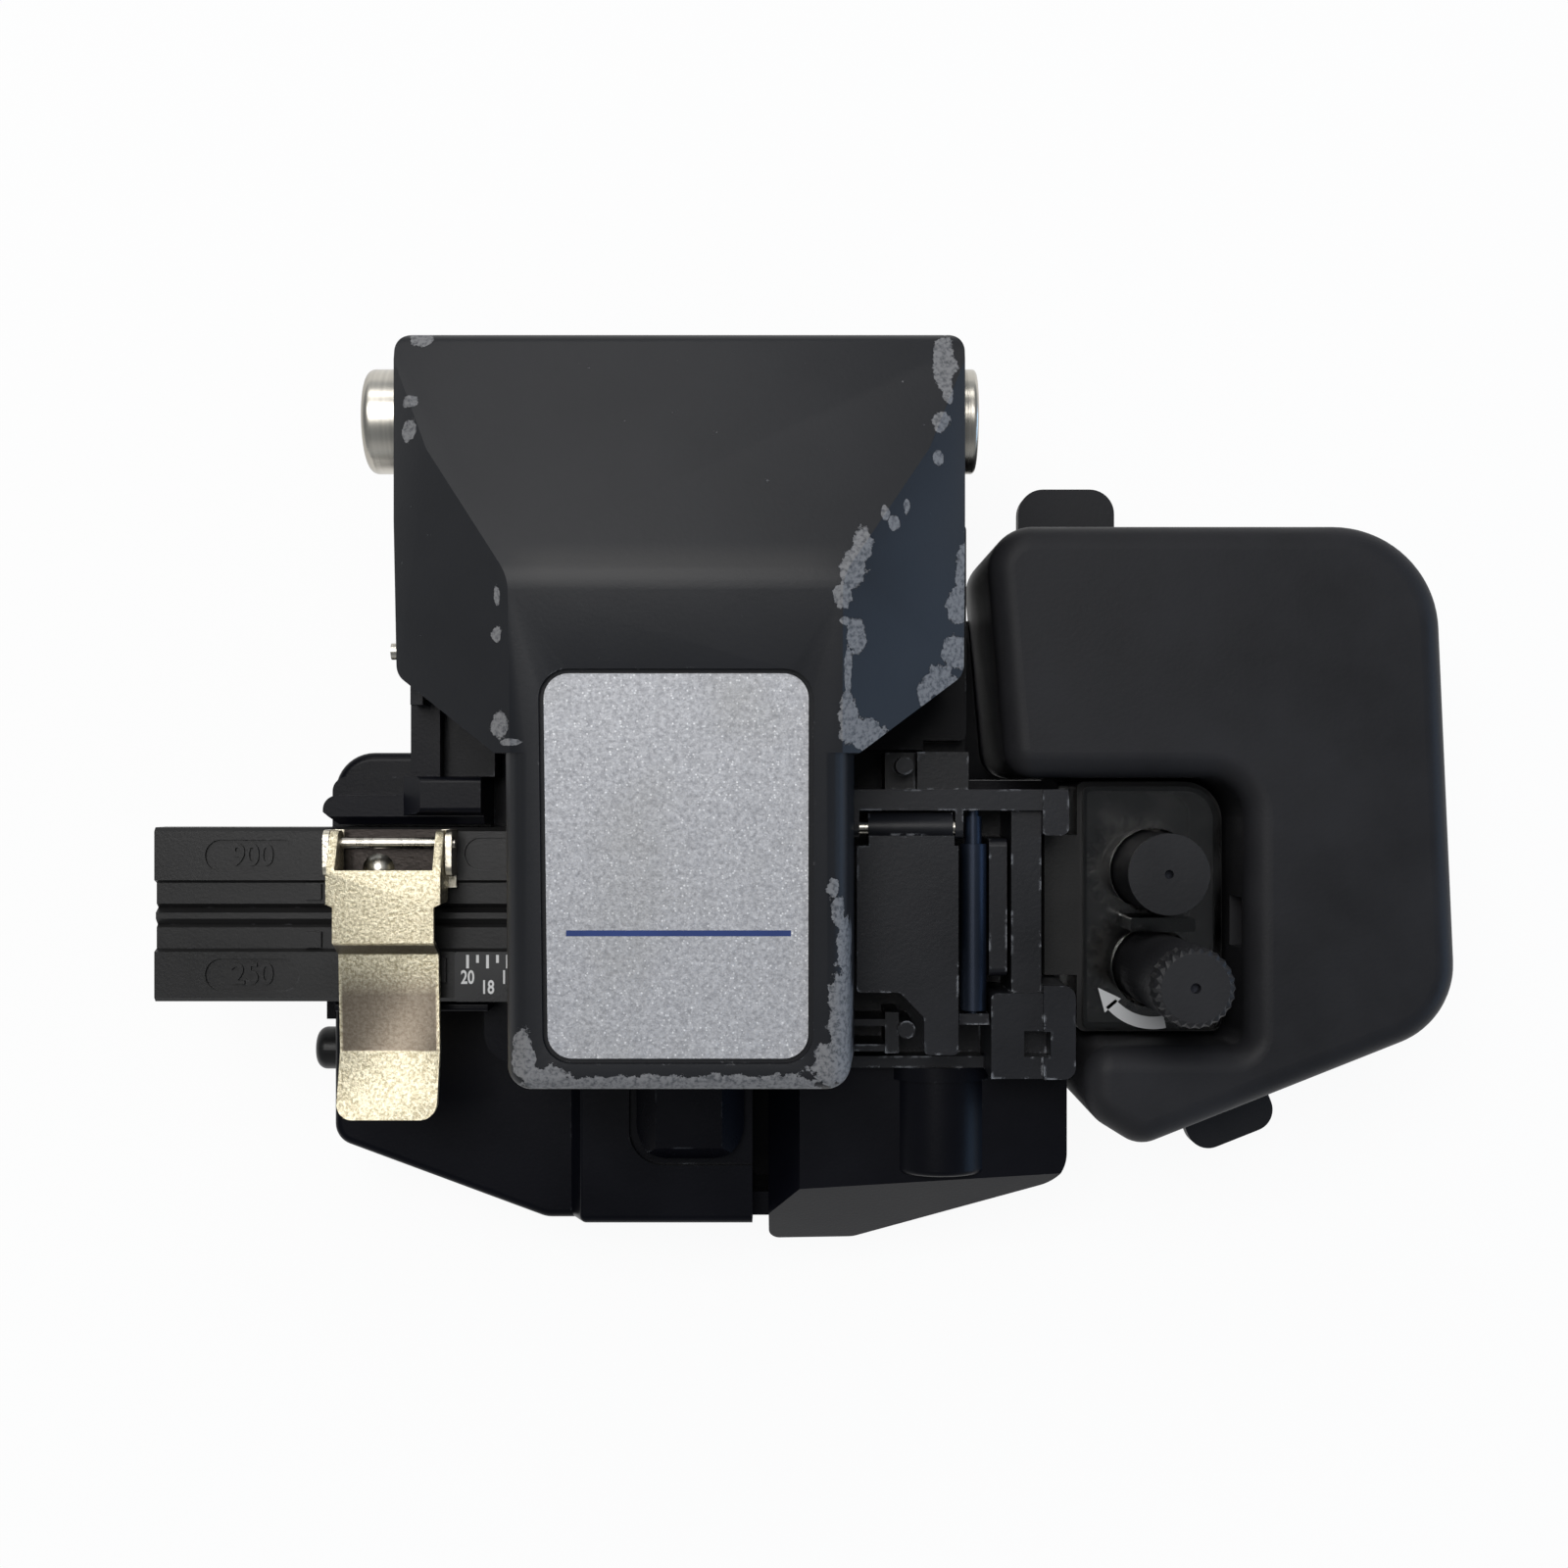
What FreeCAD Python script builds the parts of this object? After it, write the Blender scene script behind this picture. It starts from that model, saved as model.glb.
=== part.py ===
import FreeCAD, Part
import math
import os

# Fibre cleaver, in millimetres.  +X points to the off-cut collector, +Y to the hinge at the
# rear, +Z up.  The origin is the middle of the overall outline, on the plane the feet stand on.

os.makedirs("parts", exist_ok=True)
V = FreeCAD.Vector
X_AXIS = V(1, 0, 0)
Y_AXIS = V(0, 1, 0)
Z_AXIS = V(0, 0, 1)

# ---------------------------------------------------------------- fits
running_fit = 0.05          # radial, pins and shafts that turn
slide_gap = 0.25            # each side of a piece that slides between walls
lift_gap = 0.3              # between curved or sprung pieces on different bodies
screw_fit = 0.1             # radial, clearance holes for screws

# ---------------------------------------------------------------- fibre line and cleave plane
fibre_z = 28.0
fibre_y = -9.8
blade_x = -13.9

# ---------------------------------------------------------------- feet and bottom cover
foot_height = 1.6
foot_radius = 3.4
cover_thickness = 2.0
cover_inset = 0.6
cover_screw_radius = 1.0
cover_screw_head_radius = 1.9
cover_screw_length = 6.0
foot_places = [(-42.0, -28.0), (21.0, -31.0), (-30.0, 36.0), (6.0, 36.0)]
cover_screw_places = [(-44.6, -16.0), (24.4, -9.0), (-25.5, 40.6), (2.0, 40.6)]

# ---------------------------------------------------------------- chassis
wing_left = -50.3
wing_rear = 6.9
wing_rear_radius = 4.2
wing_front = -34.5
nose_left = -27.6
front_y = -42.9
deck_z = 15.0
wall = 2.8
wing_roof = 1.6
panel_left = -23.6
panel_right = -5.5
panel_top = 18.0
panel_bevel = 1.3
edge_round = 0.9
platform_left = -33.2
platform_right = 4.0
platform_front = -25.2
platform_top = 22.0
rear_left = -36.4
rear_right = 12.4
rear_y = 44.5
rear_top = 20.0
rear_block_front = 7.1
chassis_right = 27.1
right_wing_front = -26.1
right_wing_rear = 3.95
step_right = 17.2
frame_rear = 6.8
shoulder_right = 16.9
shoulder_front = 8.1
shoulder_rear = 31.0
lip_top = 13.4
bed_left = -48.4
bed_front = -19.5
bed_rear = 4.3
bed_top = 24.2
pillar_left = -39.3
pillar_width = 2.9
pillar_rear = 12.0
pillar_top = 30.0
pillar_panel_top = 27.5

# ---------------------------------------------------------------- hinge
pin_y = 40.3
pin_z = 26.0
pin_radius = 2.0
boss_radius = 5.0
boss_width = 7.0
cap_radius = 5.25
cap_rim = 0.9
left_cap_width = 4.7
right_cap_width = 1.7
cap_gap = 0.6
spring_wire = 0.45
lid_spring_turns = 6
lid_spring_radius = 2.6

# ---------------------------------------------------------------- lid
lid_centre = -12.0
lid_half_width = 26.9
neck_half_width = 16.8
neck_top_half_width = 15.3
lid_rear = 46.2
lid_rear_top = 40.0
side_front = 13.9
neck_start = 6.4
crest_y = 22.4
crest_z = 48.0
lid_front = -25.0
lid_front_top = 43.2
lid_rim = 30.5
lid_wall = 2.2
crest_radius = 6.0
neck_edge_radius = 2.2
facet_rear_inset = 3.6
facet_rear_y = 34.6
facet_top_inset = 11.7
lobe_radius = 5.7
label_length = 35.8
label_half_width = 12.1
label_corner = 2.3
label_front_margin = 3.0
label_thickness = 0.3
label_recess = 0.6
label_border = 0.45
hook_size = 1.2

# ---------------------------------------------------------------- upper clamp and anvil
cross_pin_y = 16.4
cross_pin_z = 35.0
cross_pin_radius = 0.8
cross_pin_stand_out = 1.3
carrier_half_width = 11.5
carrier_arm = 2.6
carrier_bottom = 31.6
carrier_thickness = 2.0
carrier_front = -15.5
carrier_rear = -3.9
pad_inner = 4.0
pad_outer = 9.0
pad_half_length = 4.0
pad_thickness = 2.0
pad_gap = 0.1
anvil_half_width = 1.1
anvil_half_length = 2.2
anvil_bottom = 28.9
anvil_height = 4.2
anvil_travel = 0.9
stem_radius = 0.9
holder_half_width = 3.0
holder_half_length = 3.2
holder_bottom = 36.4
anvil_spring_radius = 1.6
anvil_spring_turns = 3

# ---------------------------------------------------------------- blade slider
slider_travel = 11.0
rod_radius = 1.5
rod_spacing = 11.0
rod_z = 9.2
carriage_front = -30.0
carriage_rear = -8.0
carriage_bottom = 5.5
carriage_top = 13.0
carriage_left = -21.9
carriage_right = -5.8
cavity_left = -22.2
cavity_front = -40.0
cavity_rear = 14.0
cavity_top = 15.2
slot_right = -3.8
arm_front = -27.9
arm_rear = -25.6
thumb_left = -17.7
thumb_right = -6.4
thumb_front = -35.9
thumb_top = 21.0
thumb_edge = 2.2
thumb_corner = 3.6
thumb_gap = 0.3
track_depth = 0.8
track_margin = 0.8
blade_radius = 8.0
blade_thickness = 1.6
blade_bevel = 0.55
blade_y = -17.5
blade_top_gap = 0.1
axle_radius = 1.5
fork_gap = 0.5
fork_wall = 1.3
fork_top_over_axle = 2.4
fork_half_length = 3.2
index_holes = 16
index_hole_radius = 0.35
index_hole_circle = 5.2
return_spring_radius = 1.7
return_spring_turns = 9

# ---------------------------------------------------------------- slider latch
pawl_x = -10.4
pawl_width = 2.2
pawl_pivot_y = 7.6
pawl_pivot_z = 15.0
pawl_pin_radius = 0.8
pawl_thickness = 1.6
pawl_hook_y = -1.4
pawl_tail_y = 13.2
release_pin_radius = 1.1
release_head_radius = 1.8
release_top = 25.4
release_rise = 0.7
hook_depth = 1.4
pawl_roof = 18.4

# ---------------------------------------------------------------- adapter plate, rails, scale
adapter_left = -65.35
adapter_right = -23.4
adapter_front = -18.3
adapter_rear = -0.8
adapter_bottom_gap = 0.2
adapter_top = 28.4
adapter_step = 0.8
rear_band = 5.3
front_band = 5.0
groove_900_y = -8.9
groove_250_y = -10.6
groove_depth = 0.55
recess_length = 9.4
recess_width = 3.2
recess_depth = 0.3
recess_offset = 9.8
peg_x = -49.5
peg_size = 1.6
rail_gap = 0.3
rail_left = -48.3
rail_right = -32.2
rail_rear = 4.3
rail_low_top = 29.0
rail_high_top = 31.0
rail_step_x = -40.2
rail_low_rear = 2.4
front_rail_top = 26.4
front_rail_left = -47.6
side_block = 1.0
scale_left = -35.2
scale_width = 5.7
scale_thickness = 0.6

# ---------------------------------------------------------------- clamp flap
flap_pin_y = -2.3
flap_pin_z = 30.6
flap_pin_radius = 0.55
flap_left = -46.9
flap_right = -35.7
flap_sheet = 0.8
flap_top = 34.0
flap_plate_rear = -4.9
flap_notch_y = -8.2
flap_notch = 0.65
flap_step_y = -12.0
flap_step_run = 1.3
flap_low_z = 31.2
flap_crease_y = -23.0
flap_crease_z = 30.4
flap_front = -29.5
flap_front_z = 32.6
flap_corner = 1.6
flap_flange = 4.6
bracket_gap = 0.15
bracket_sheet = 0.6
bracket_rear = -1.0
bracket_front_y = -5.6
bracket_screw_x = -42.7
bracket_screw_y = -5.0
bracket_screw_radius = 1.6
flap_pad_thickness = 1.2
flap_ear_radius = 1.25

# ---------------------------------------------------------------- side button
button_y = -25.3
button_z = 10.0
button_radius = 2.3
button_stand_out = 2.8
button_travel = 1.2
button_flange = 0.7
button_flange_rim = 0.6

# ---------------------------------------------------------------- right front body
body_right = 27.7
body_front = -46.2
body_front_right = -38.2
body_bend_x = 5.4
body_top = 18.0
body_left_bevel = 3.3
body_bevel_drop = 4.0
body_facet_low_z = 9.0
body_facet_y = -39.2
bulge_x = 14.4
bulge_radius = 5.4
bulge_z = 14.8
bulge_front = -37.6
bulge_collar = 1.5
bulge_collar_radius = 5.9

# ---------------------------------------------------------------- feed frame and tail clamp
frame_left = 4.6
frame_floor = 1.5
bar_front = 0.9
bar_rear = 3.0
bar_top = 28.3
bar_bottom = 22.0
bar_right = 26.4
end_block_left = 23.8
side_wall_left = 20.8
side_wall_top = 27.2
window_block_left = 18.7
window_block_right = 25.0
window_block_rear = -17.5
window_block_top = 28.0
corner_block_left = 23.9
corner_block_top = 28.6
pocket_size = 2.6
arm_pin_y = -0.8
arm_pin_z = 27.3
arm_pin_radius = 0.75
arm_barrel_radius = 1.5
arm_left = 6.3
arm_right = 14.8
arm_plate_left = lid_centre + neck_half_width + 0.3
arm_plate_bottom = 28.9
arm_plate_thickness = 1.3
arm_front_edge = -17.2
arm_tongue_left = 11.8
arm_tongue_front = -23.4
arm_tongue_right = 15.2
arm_rear_clear = 0.8
lug_width = 0.8
lug_gap = 0.25
roller_x = 17.0
roller_radius = 1.33
roller_rear = -2.5
roller_front = -19.3
journal_radius = 0.6
neck_radius = 0.85
neck_rear = 0.3
guide_plate_left = 18.6
guide_plate_width = 1.8
tail_pad_left = 7.6
tail_pad_width = 6.4

# ---------------------------------------------------------------- collector
collector_left = 18.0
collector_rear = 29.5
collector_right = 65.6
collector_right_rear = 63.4
collector_nose_y = -20.3
collector_inner_left = 20.2
collector_arm_left = 28.1
collector_arm_front = -29.6
collector_arm_tip_x = 33.6
collector_arm_tip_y = -33.0
notch_rear = 4.2
notch_right = 44.2
notch_front = -22.8
tray_bottom = 2.4
tray_wall = 1.8
tray_top = 10.0
cover_top = 29.5
cover_wall = 1.6
cover_edge = 2.5
lip_height = 1.5
lip_wall = 1.0
lip_gap = 0.15
rear_tab_left = 23.5
rear_tab_right = 34.0
rear_tab_y = 35.8
tab_thickness = 2.2
front_tab_x = 45.2
front_tab_y = -29.4
front_tab_width = 9.8
front_tab_reach = 6.3
inlet_half_width = 2.6
inlet_bottom = 21.0
inlet_top = 26.5

# ---------------------------------------------------------------- roller housing
housing_left = 28.6
housing_right = 43.8
housing_rear = 3.8
housing_front = -22.4
housing_top = 19.0
housing_wall = 1.0
wing_left_edge = 25.2
wing_front_edge = -16.5
window_thickness = 1.2
window_top = housing_top + window_thickness
drive_x = 36.4
drive_y = -15.6
idler_y = -5.5
nip_y = (drive_y + idler_y) / 2
idler_radius = 4.1
idler_top = 29.0
idler_cap_height = 0.5
idler_shaft_drop = 1.6
knob_radius = 3.6
knob_top = 42.0
knob_teeth = 26
knob_tooth_depth = 0.3
roller_gap = 0.35
strip_top = 27.5
strip_left = 32.8
strip_right = 39.3
shaft_radius = 1.2
gear_teeth = 20
gear_bottom = 7.0
gear_width = 4.0
bracket_flange = 1.2
bracket_flange_right = 50.0
bracket_front = -25.4
bracket_rear_y = 22.0
bracket_upright_front = -14.0
bracket_upright_rear = -2.0
bracket_rear_left = 17.5
bracket_top = 13.0
bracket_screw_z = 10.0
bracket_screw_places = [-11.5, -4.5]
bracket_hole_radius = 1.1


# ================================================================ shape helpers
def block(x0, x1, y0, y1, z0, z1):
    return Part.makeBox(x1 - x0, y1 - y0, z1 - z0, V(x0, y0, z0))


def rod(start, end, radius):
    way = end.sub(start)
    return Part.makeCylinder(radius, way.Length, start, way)


def rounded_face(corners, place):
    """A face from corners (a, b, radius); place puts (a, b) on its plane."""
    turns = []
    for number, (a, b, radius) in enumerate(corners):
        corner = V(a, b, 0)
        last = corners[number - 1]
        following = corners[(number + 1) % len(corners)]
        back = V(last[0], last[1], 0).sub(corner).normalize()
        ahead = V(following[0], following[1], 0).sub(corner).normalize()
        if radius == 0:
            turns.append((corner, None, corner))
            continue
        half = back.getAngle(ahead) / 2
        reach = radius / math.tan(half)
        inward = back.add(ahead).normalize()
        middle = corner.add(inward * (radius / math.sin(half) - radius))
        turns.append((corner.add(back * reach), middle, corner.add(ahead * reach)))
    edges = []
    for number, (start, middle, end) in enumerate(turns):
        if middle is not None:
            arc = Part.Arc(place(start), place(middle), place(end))
            edges.append(arc.toShape())
        following = turns[(number + 1) % len(turns)][0]
        if end.distanceToPoint(following) > 1e-6:
            edges.append(Part.LineSegment(place(end), place(following)).toShape())
    return Part.Face(Part.Wire(edges))


def flat_shape(corners, z0, z1):
    """Top-view outline (x, y, radius) raised from z0 to z1."""
    face = rounded_face(corners, lambda p: V(p.x, p.y, z0))
    return face.extrude(V(0, 0, z1 - z0))


def side_shape(corners, x0, x1):
    """Side-view outline (y, z, radius) drawn out from x0 to x1."""
    face = rounded_face(corners, lambda p: V(x0, p.x, p.y))
    return face.extrude(V(x1 - x0, 0, 0))


def front_shape(corners, y0, y1):
    """Front-view outline (x, z, radius) drawn out from y0 to y1."""
    face = rounded_face(corners, lambda p: V(p.x, y0, p.y))
    return face.extrude(V(0, y1 - y0, 0))


def cut_above_plane(shape, point, normal):
    """Take away what lies on the normal's side of a plane."""
    reach = 400.0
    tool = Part.makeBox(reach, reach, reach, V(-reach / 2, -reach / 2, 0))
    tool.Placement = FreeCAD.Placement(point, FreeCAD.Rotation(Z_AXIS, normal))
    return shape.cut(tool)


def join(*shapes):
    return shapes[0].multiFuse(list(shapes[1:])).removeSplitter()


def round_edges(shape, radius, pick):
    return shape.makeFillet(radius, [edge for edge in shape.Edges if pick(edge)])


def coil(start, way, radius, wire, turns, length):
    """A helical compression or torsion spring about the line start + way."""
    helix = Part.makeHelix(length / turns, length, radius)
    section = Part.Wire(Part.makeCircle(wire, V(radius, 0, 0), Y_AXIS))
    spring = Part.Wire(helix).makePipeShell([section], True, True)
    spring.Placement = FreeCAD.Placement(start, FreeCAD.Rotation(Z_AXIS, way))
    return spring


def toothed_wheel(centre, outer, inner, teeth, z0, z1, tip_share, root_share):
    """A wheel with straight-sided teeth; the shares are parts of one tooth's pitch."""
    points = []
    pitch = 2 * math.pi / teeth
    for tooth in range(teeth):
        middle = tooth * pitch
        for angle, radius in ((-root_share / 2, inner), (-tip_share / 2, outer),
                              (tip_share / 2, outer), (root_share / 2, inner)):
            turn = middle + angle * pitch
            points.append(V(centre.x + radius * math.cos(turn),
                            centre.y + radius * math.sin(turn), z0))
    points.append(points[0])
    return Part.Face(Part.makePolygon(points)).extrude(V(0, 0, z1 - z0))


# ================================================================ base
chassis_bottom = foot_height + cover_thickness
blade_slot_left = blade_x - 3.3
blade_slot_right = blade_x + 4.4

base_corners = [
    (wing_left, wing_rear, wing_rear_radius),
    (wing_left, wing_front, 2.4),
    (nose_left, front_y, 3.0),
    (panel_right, front_y, 0),
    (panel_right, right_wing_front, 0),
    (chassis_right, right_wing_front, 0),
    (chassis_right, right_wing_rear, 0.6),
    (step_right, right_wing_rear, 0),
    (step_right, shoulder_rear, 1.0),
    (rear_right, shoulder_rear, 0),
    (rear_right, rear_y, 3.0),
    (rear_left, rear_y, 3.0),
    (rear_left, wing_rear, 0),
]


def make_chassis():
    body = flat_shape(base_corners, chassis_bottom, deck_z)
    body = round_edges(body, edge_round, lambda e: e.BoundBox.ZMin > deck_z - 0.01
                       and e.BoundBox.YMax < wing_rear + 0.01 and e.BoundBox.XMax < rear_left - 0.01)
    panel = front_shape([(panel_left - panel_bevel, deck_z - 1, 0),
                         (panel_left - panel_bevel, deck_z, 0),
                         (panel_left, panel_top, 0.4),
                         (panel_right, panel_top, 0),
                         (panel_right, deck_z - 1, 0)], front_y, platform_front + 1)
    panel = round_edges(panel, edge_round, lambda e: e.BoundBox.YMax < front_y + 0.01
                        and e.BoundBox.ZMin > panel_top - 0.01)
    platform = flat_shape([(platform_left, bed_front, 0), (platform_left, platform_front, 3.0),
                           (platform_right, platform_front, 1.5),
                           (platform_right, rear_block_front + 2, 0),
                           (platform_left, rear_block_front + 2, 0)], deck_z - 1, platform_top)
    bed = flat_shape([(bed_left, bed_rear, 1.5), (bed_left, bed_front, 1.5),
                      (platform_left + 1, bed_front, 0), (platform_left + 1, bed_rear, 0)],
                     deck_z - 1, bed_top)
    rear = flat_shape([(rear_left, rear_y, 3.0), (rear_left, rear_block_front, 0),
                       (rear_right, rear_block_front, 0), (rear_right, rear_y, 3.0)],
                      deck_z - 1, rear_top)
    post = block(pillar_left, pillar_left + pillar_width, bed_rear, pillar_rear,
                 deck_z - 1, pillar_top)
    post_panel = block(pillar_left + 1, platform_left + 1.9, bed_rear, pillar_rear,
                       deck_z - 1, pillar_panel_top)
    shoulder = flat_shape([(rear_right - 1, shoulder_front, 0), (shoulder_right, shoulder_front, 0.8),
                           (shoulder_right, shoulder_rear, 1.0), (rear_right - 1, shoulder_rear, 0)],
                          deck_z - 1, rear_top)
    lip = block(panel_right - 1, slot_right, front_y, cavity_front - 0.4, chassis_bottom, lip_top)
    guard = block(wing_left - side_block, wing_left + 1, bed_front - 2.2, bed_front, chassis_bottom + 3,
                  deck_z - 1)
    body = join(body, panel, platform, bed, rear, shoulder, lip, post_panel, post, guard)
    for side_x in (rear_left, rear_right - boss_width):
        boss = side_shape([(pin_y - boss_radius, rear_top - 1, 0),
                           (pin_y + boss_radius - 0.9, rear_top - 1, 0),
                           (pin_y + boss_radius, pin_z + boss_radius, boss_radius - 0.2),
                           (pin_y - boss_radius, pin_z + boss_radius, boss_radius - 0.2)],
                          side_x, side_x + boss_width)
        body = body.fuse(boss)
    track_rear = arm_rear + slider_travel + 0.4
    hollows = [
        block(wing_left + wall, cavity_left - wall, wing_front + wall + 1.5, wing_rear - wall,
              chassis_bottom, deck_z - wing_roof),
        block(cavity_left, panel_right, cavity_front, cavity_rear, chassis_bottom, cavity_top),
        block(panel_right - 0.1, slot_right, right_wing_front - 1, track_rear,
              chassis_bottom, platform_top),
        block(slot_right + wall, chassis_right - wall, right_wing_front + wall,
              right_wing_rear - wall, chassis_bottom, deck_z - wall),
        block(rear_left + wall, rear_right - wall, cavity_rear + wall, rear_y - wall - 3.2,
              chassis_bottom, rear_top - wall),
        block(blade_slot_left, blade_slot_right, blade_y - blade_radius - 0.8,
              blade_y + blade_radius + slider_travel + 0.8, cavity_top - 1, platform_top),
        flat_shape([(thumb_left - track_margin, thumb_front - track_margin, thumb_corner),
                    (panel_right + 1, thumb_front - track_margin, 0), (panel_right + 1, track_rear, 0),
                    (thumb_left - track_margin, track_rear, 0)],
                   panel_top - track_depth, platform_top),
        block(pawl_x - pawl_width / 2 - slide_gap, pawl_x + pawl_width / 2 + slide_gap,
              pawl_hook_y - 1.6, pawl_tail_y + 0.6, cavity_top - 1, pawl_roof),
        rod(V(pawl_x, pawl_tail_y - 1.4, pawl_roof - 2), V(pawl_x, pawl_tail_y - 1.4, platform_top + 1),
            release_pin_radius + running_fit),
        rod(V(rear_left - 1, pin_y, pin_z), V(rear_right + 1, pin_y, pin_z), pin_radius),
        rod(V(pawl_x - 4, pawl_pivot_y, pawl_pivot_z), V(pawl_x + 4, pawl_pivot_y, pawl_pivot_z),
            pawl_pin_radius),
        rod(V(wing_left - 1, button_y, button_z), V(wing_left + wall + 1, button_y, button_z),
            button_radius + running_fit),
    ]
    for side in (-1, 1):
        rod_x = blade_x + side * rod_spacing / 2
        hollows.append(rod(V(rod_x, cavity_front - 1.4, rod_z), V(rod_x, cavity_rear + 1.4, rod_z),
                           rod_radius))
    for x, y in cover_screw_places:
        hollows.append(rod(V(x, y, chassis_bottom - 1), V(x, y, foot_height + cover_screw_length),
                           cover_screw_radius))
    for y in bracket_screw_places:
        hollows.append(rod(V(chassis_right - 2, y, bracket_screw_z), V(chassis_right + 1, y, bracket_screw_z),
                           bracket_hole_radius - screw_fit))
    body = body.cut(Part.makeCompound(hollows))
    return body.removeSplitter()


def make_bottom_cover():
    corners = [
        (wing_left + cover_inset, wing_rear - cover_inset, wing_rear_radius),
        (wing_left + cover_inset, wing_front + cover_inset / 2, 2.4),
        (nose_left, front_y + cover_inset, 3.0),
        (body_bend_x, front_y + cover_inset, 3.0),
        (chassis_right - cover_inset, body_front_right + 2 * cover_inset, 2.0),
        (chassis_right - cover_inset, right_wing_rear - cover_inset, 0.6),
        (step_right - cover_inset, right_wing_rear - cover_inset, 0),
        (step_right - cover_inset, shoulder_rear - cover_inset, 0.6),
        (rear_right - cover_inset, shoulder_rear - cover_inset, 0),
        (rear_right - cover_inset, rear_y - cover_inset, 3.0),
        (rear_left + cover_inset, rear_y - cover_inset, 3.0),
        (rear_left + cover_inset, wing_rear - cover_inset, 0),
    ]
    cover = flat_shape(corners, foot_height, chassis_bottom)
    for x, y in cover_screw_places:
        cover = cover.cut(rod(V(x, y, 0), V(x, y, chassis_bottom + 1), cover_screw_radius + screw_fit))
        sink = Part.makeCone(cover_screw_head_radius, cover_screw_radius + screw_fit, 1.1,
                             V(x, y, foot_height))
        cover = cover.cut(sink)
    return cover


def make_bottom_screws():
    screws = []
    for x, y in cover_screw_places:
        shank = rod(V(x, y, foot_height + 0.2), V(x, y, foot_height + cover_screw_length),
                    cover_screw_radius)
        head = Part.makeCone(cover_screw_head_radius - 0.2, cover_screw_radius, 1.0,
                             V(x, y, foot_height + 0.1))
        slot = block(x - 1.4, x + 1.4, y - 0.25, y + 0.25, foot_height, foot_height + 0.6)
        screws.append(shank.fuse(head).cut(slot))
    return Part.makeCompound(screws)


def make_feet():
    feet = []
    places = foot_places + [(58.0, 20.0), (56.0, -16.0)]
    for x, y in places:
        top = foot_height if x < chassis_right else tray_bottom
        foot = Part.makeCone(foot_radius, foot_radius - 0.3, top, V(x, y, 0))
        feet.append(foot)
    return Part.makeCompound(feet)


def make_right_body():
    corners = [
        (slot_right, right_wing_front, 0),
        (slot_right, body_front, 1.2),
        (body_bend_x, body_front, 3.0),
        (body_right, body_front_right, 4.0),
        (body_right, right_wing_front, 0),
    ]
    body = flat_shape(corners, chassis_bottom, body_top)
    bevel_point = V(slot_right + body_left_bevel, body_facet_y, body_top)
    body = cut_above_plane(body, bevel_point, V(-body_bevel_drop, 0, body_left_bevel))
    low = V(body_bend_x, body_front, body_facet_low_z)
    across = V(body_right - slot_right - body_left_bevel, 1.7, 0)
    normal = across.cross(bevel_point.sub(low))
    body = cut_above_plane(body, bevel_point, normal)
    bulge = rod(V(bulge_x, bulge_front, bulge_z), V(bulge_x, right_wing_front, bulge_z), bulge_radius)
    bulge = round_edges(bulge, 0.6, lambda e: abs(e.BoundBox.YMin - bulge_front) < 0.01
                        and abs(e.BoundBox.YMax - bulge_front) < 0.01)
    collar = rod(V(bulge_x, right_wing_front - bulge_collar, bulge_z),
                 V(bulge_x, right_wing_front, bulge_z), bulge_collar_radius)
    body = join(body, bulge, collar)
    hollow = block(slot_right + wall, body_right - wall, body_facet_y + 1.5, right_wing_front - wall,
                   chassis_bottom, body_facet_low_z + 2)
    return body.cut(hollow)


# ================================================================ hinge pieces
def make_hinge_pin():
    lid_left = lid_centre - lid_half_width
    lid_right = lid_centre + lid_half_width
    return rod(V(lid_left - cap_gap - left_cap_width + 1.2, pin_y, pin_z),
               V(lid_right + cap_gap + right_cap_width - 0.6, pin_y, pin_z), pin_radius)


def make_hinge_cap(inner_x, width, side, bore_depth):
    cap = rod(V(inner_x, pin_y, pin_z), V(inner_x + side * width, pin_y, pin_z), cap_radius)
    rim_x = inner_x + side * width
    cap = round_edges(cap, cap_rim if width > 3 else cap_rim / 2,
                      lambda e: abs(e.BoundBox.XMin - rim_x) < 0.01 and abs(e.BoundBox.XMax - rim_x) < 0.01)
    bore = rod(V(inner_x - side, pin_y, pin_z), V(inner_x + side * bore_depth, pin_y, pin_z), pin_radius)
    return cap.cut(bore)


def make_lid_spring():
    middle = lid_centre
    half = 5.0
    return coil(V(middle - half, pin_y, pin_z), X_AXIS, lid_spring_radius, spring_wire,
                lid_spring_turns, 2 * half)


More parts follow.
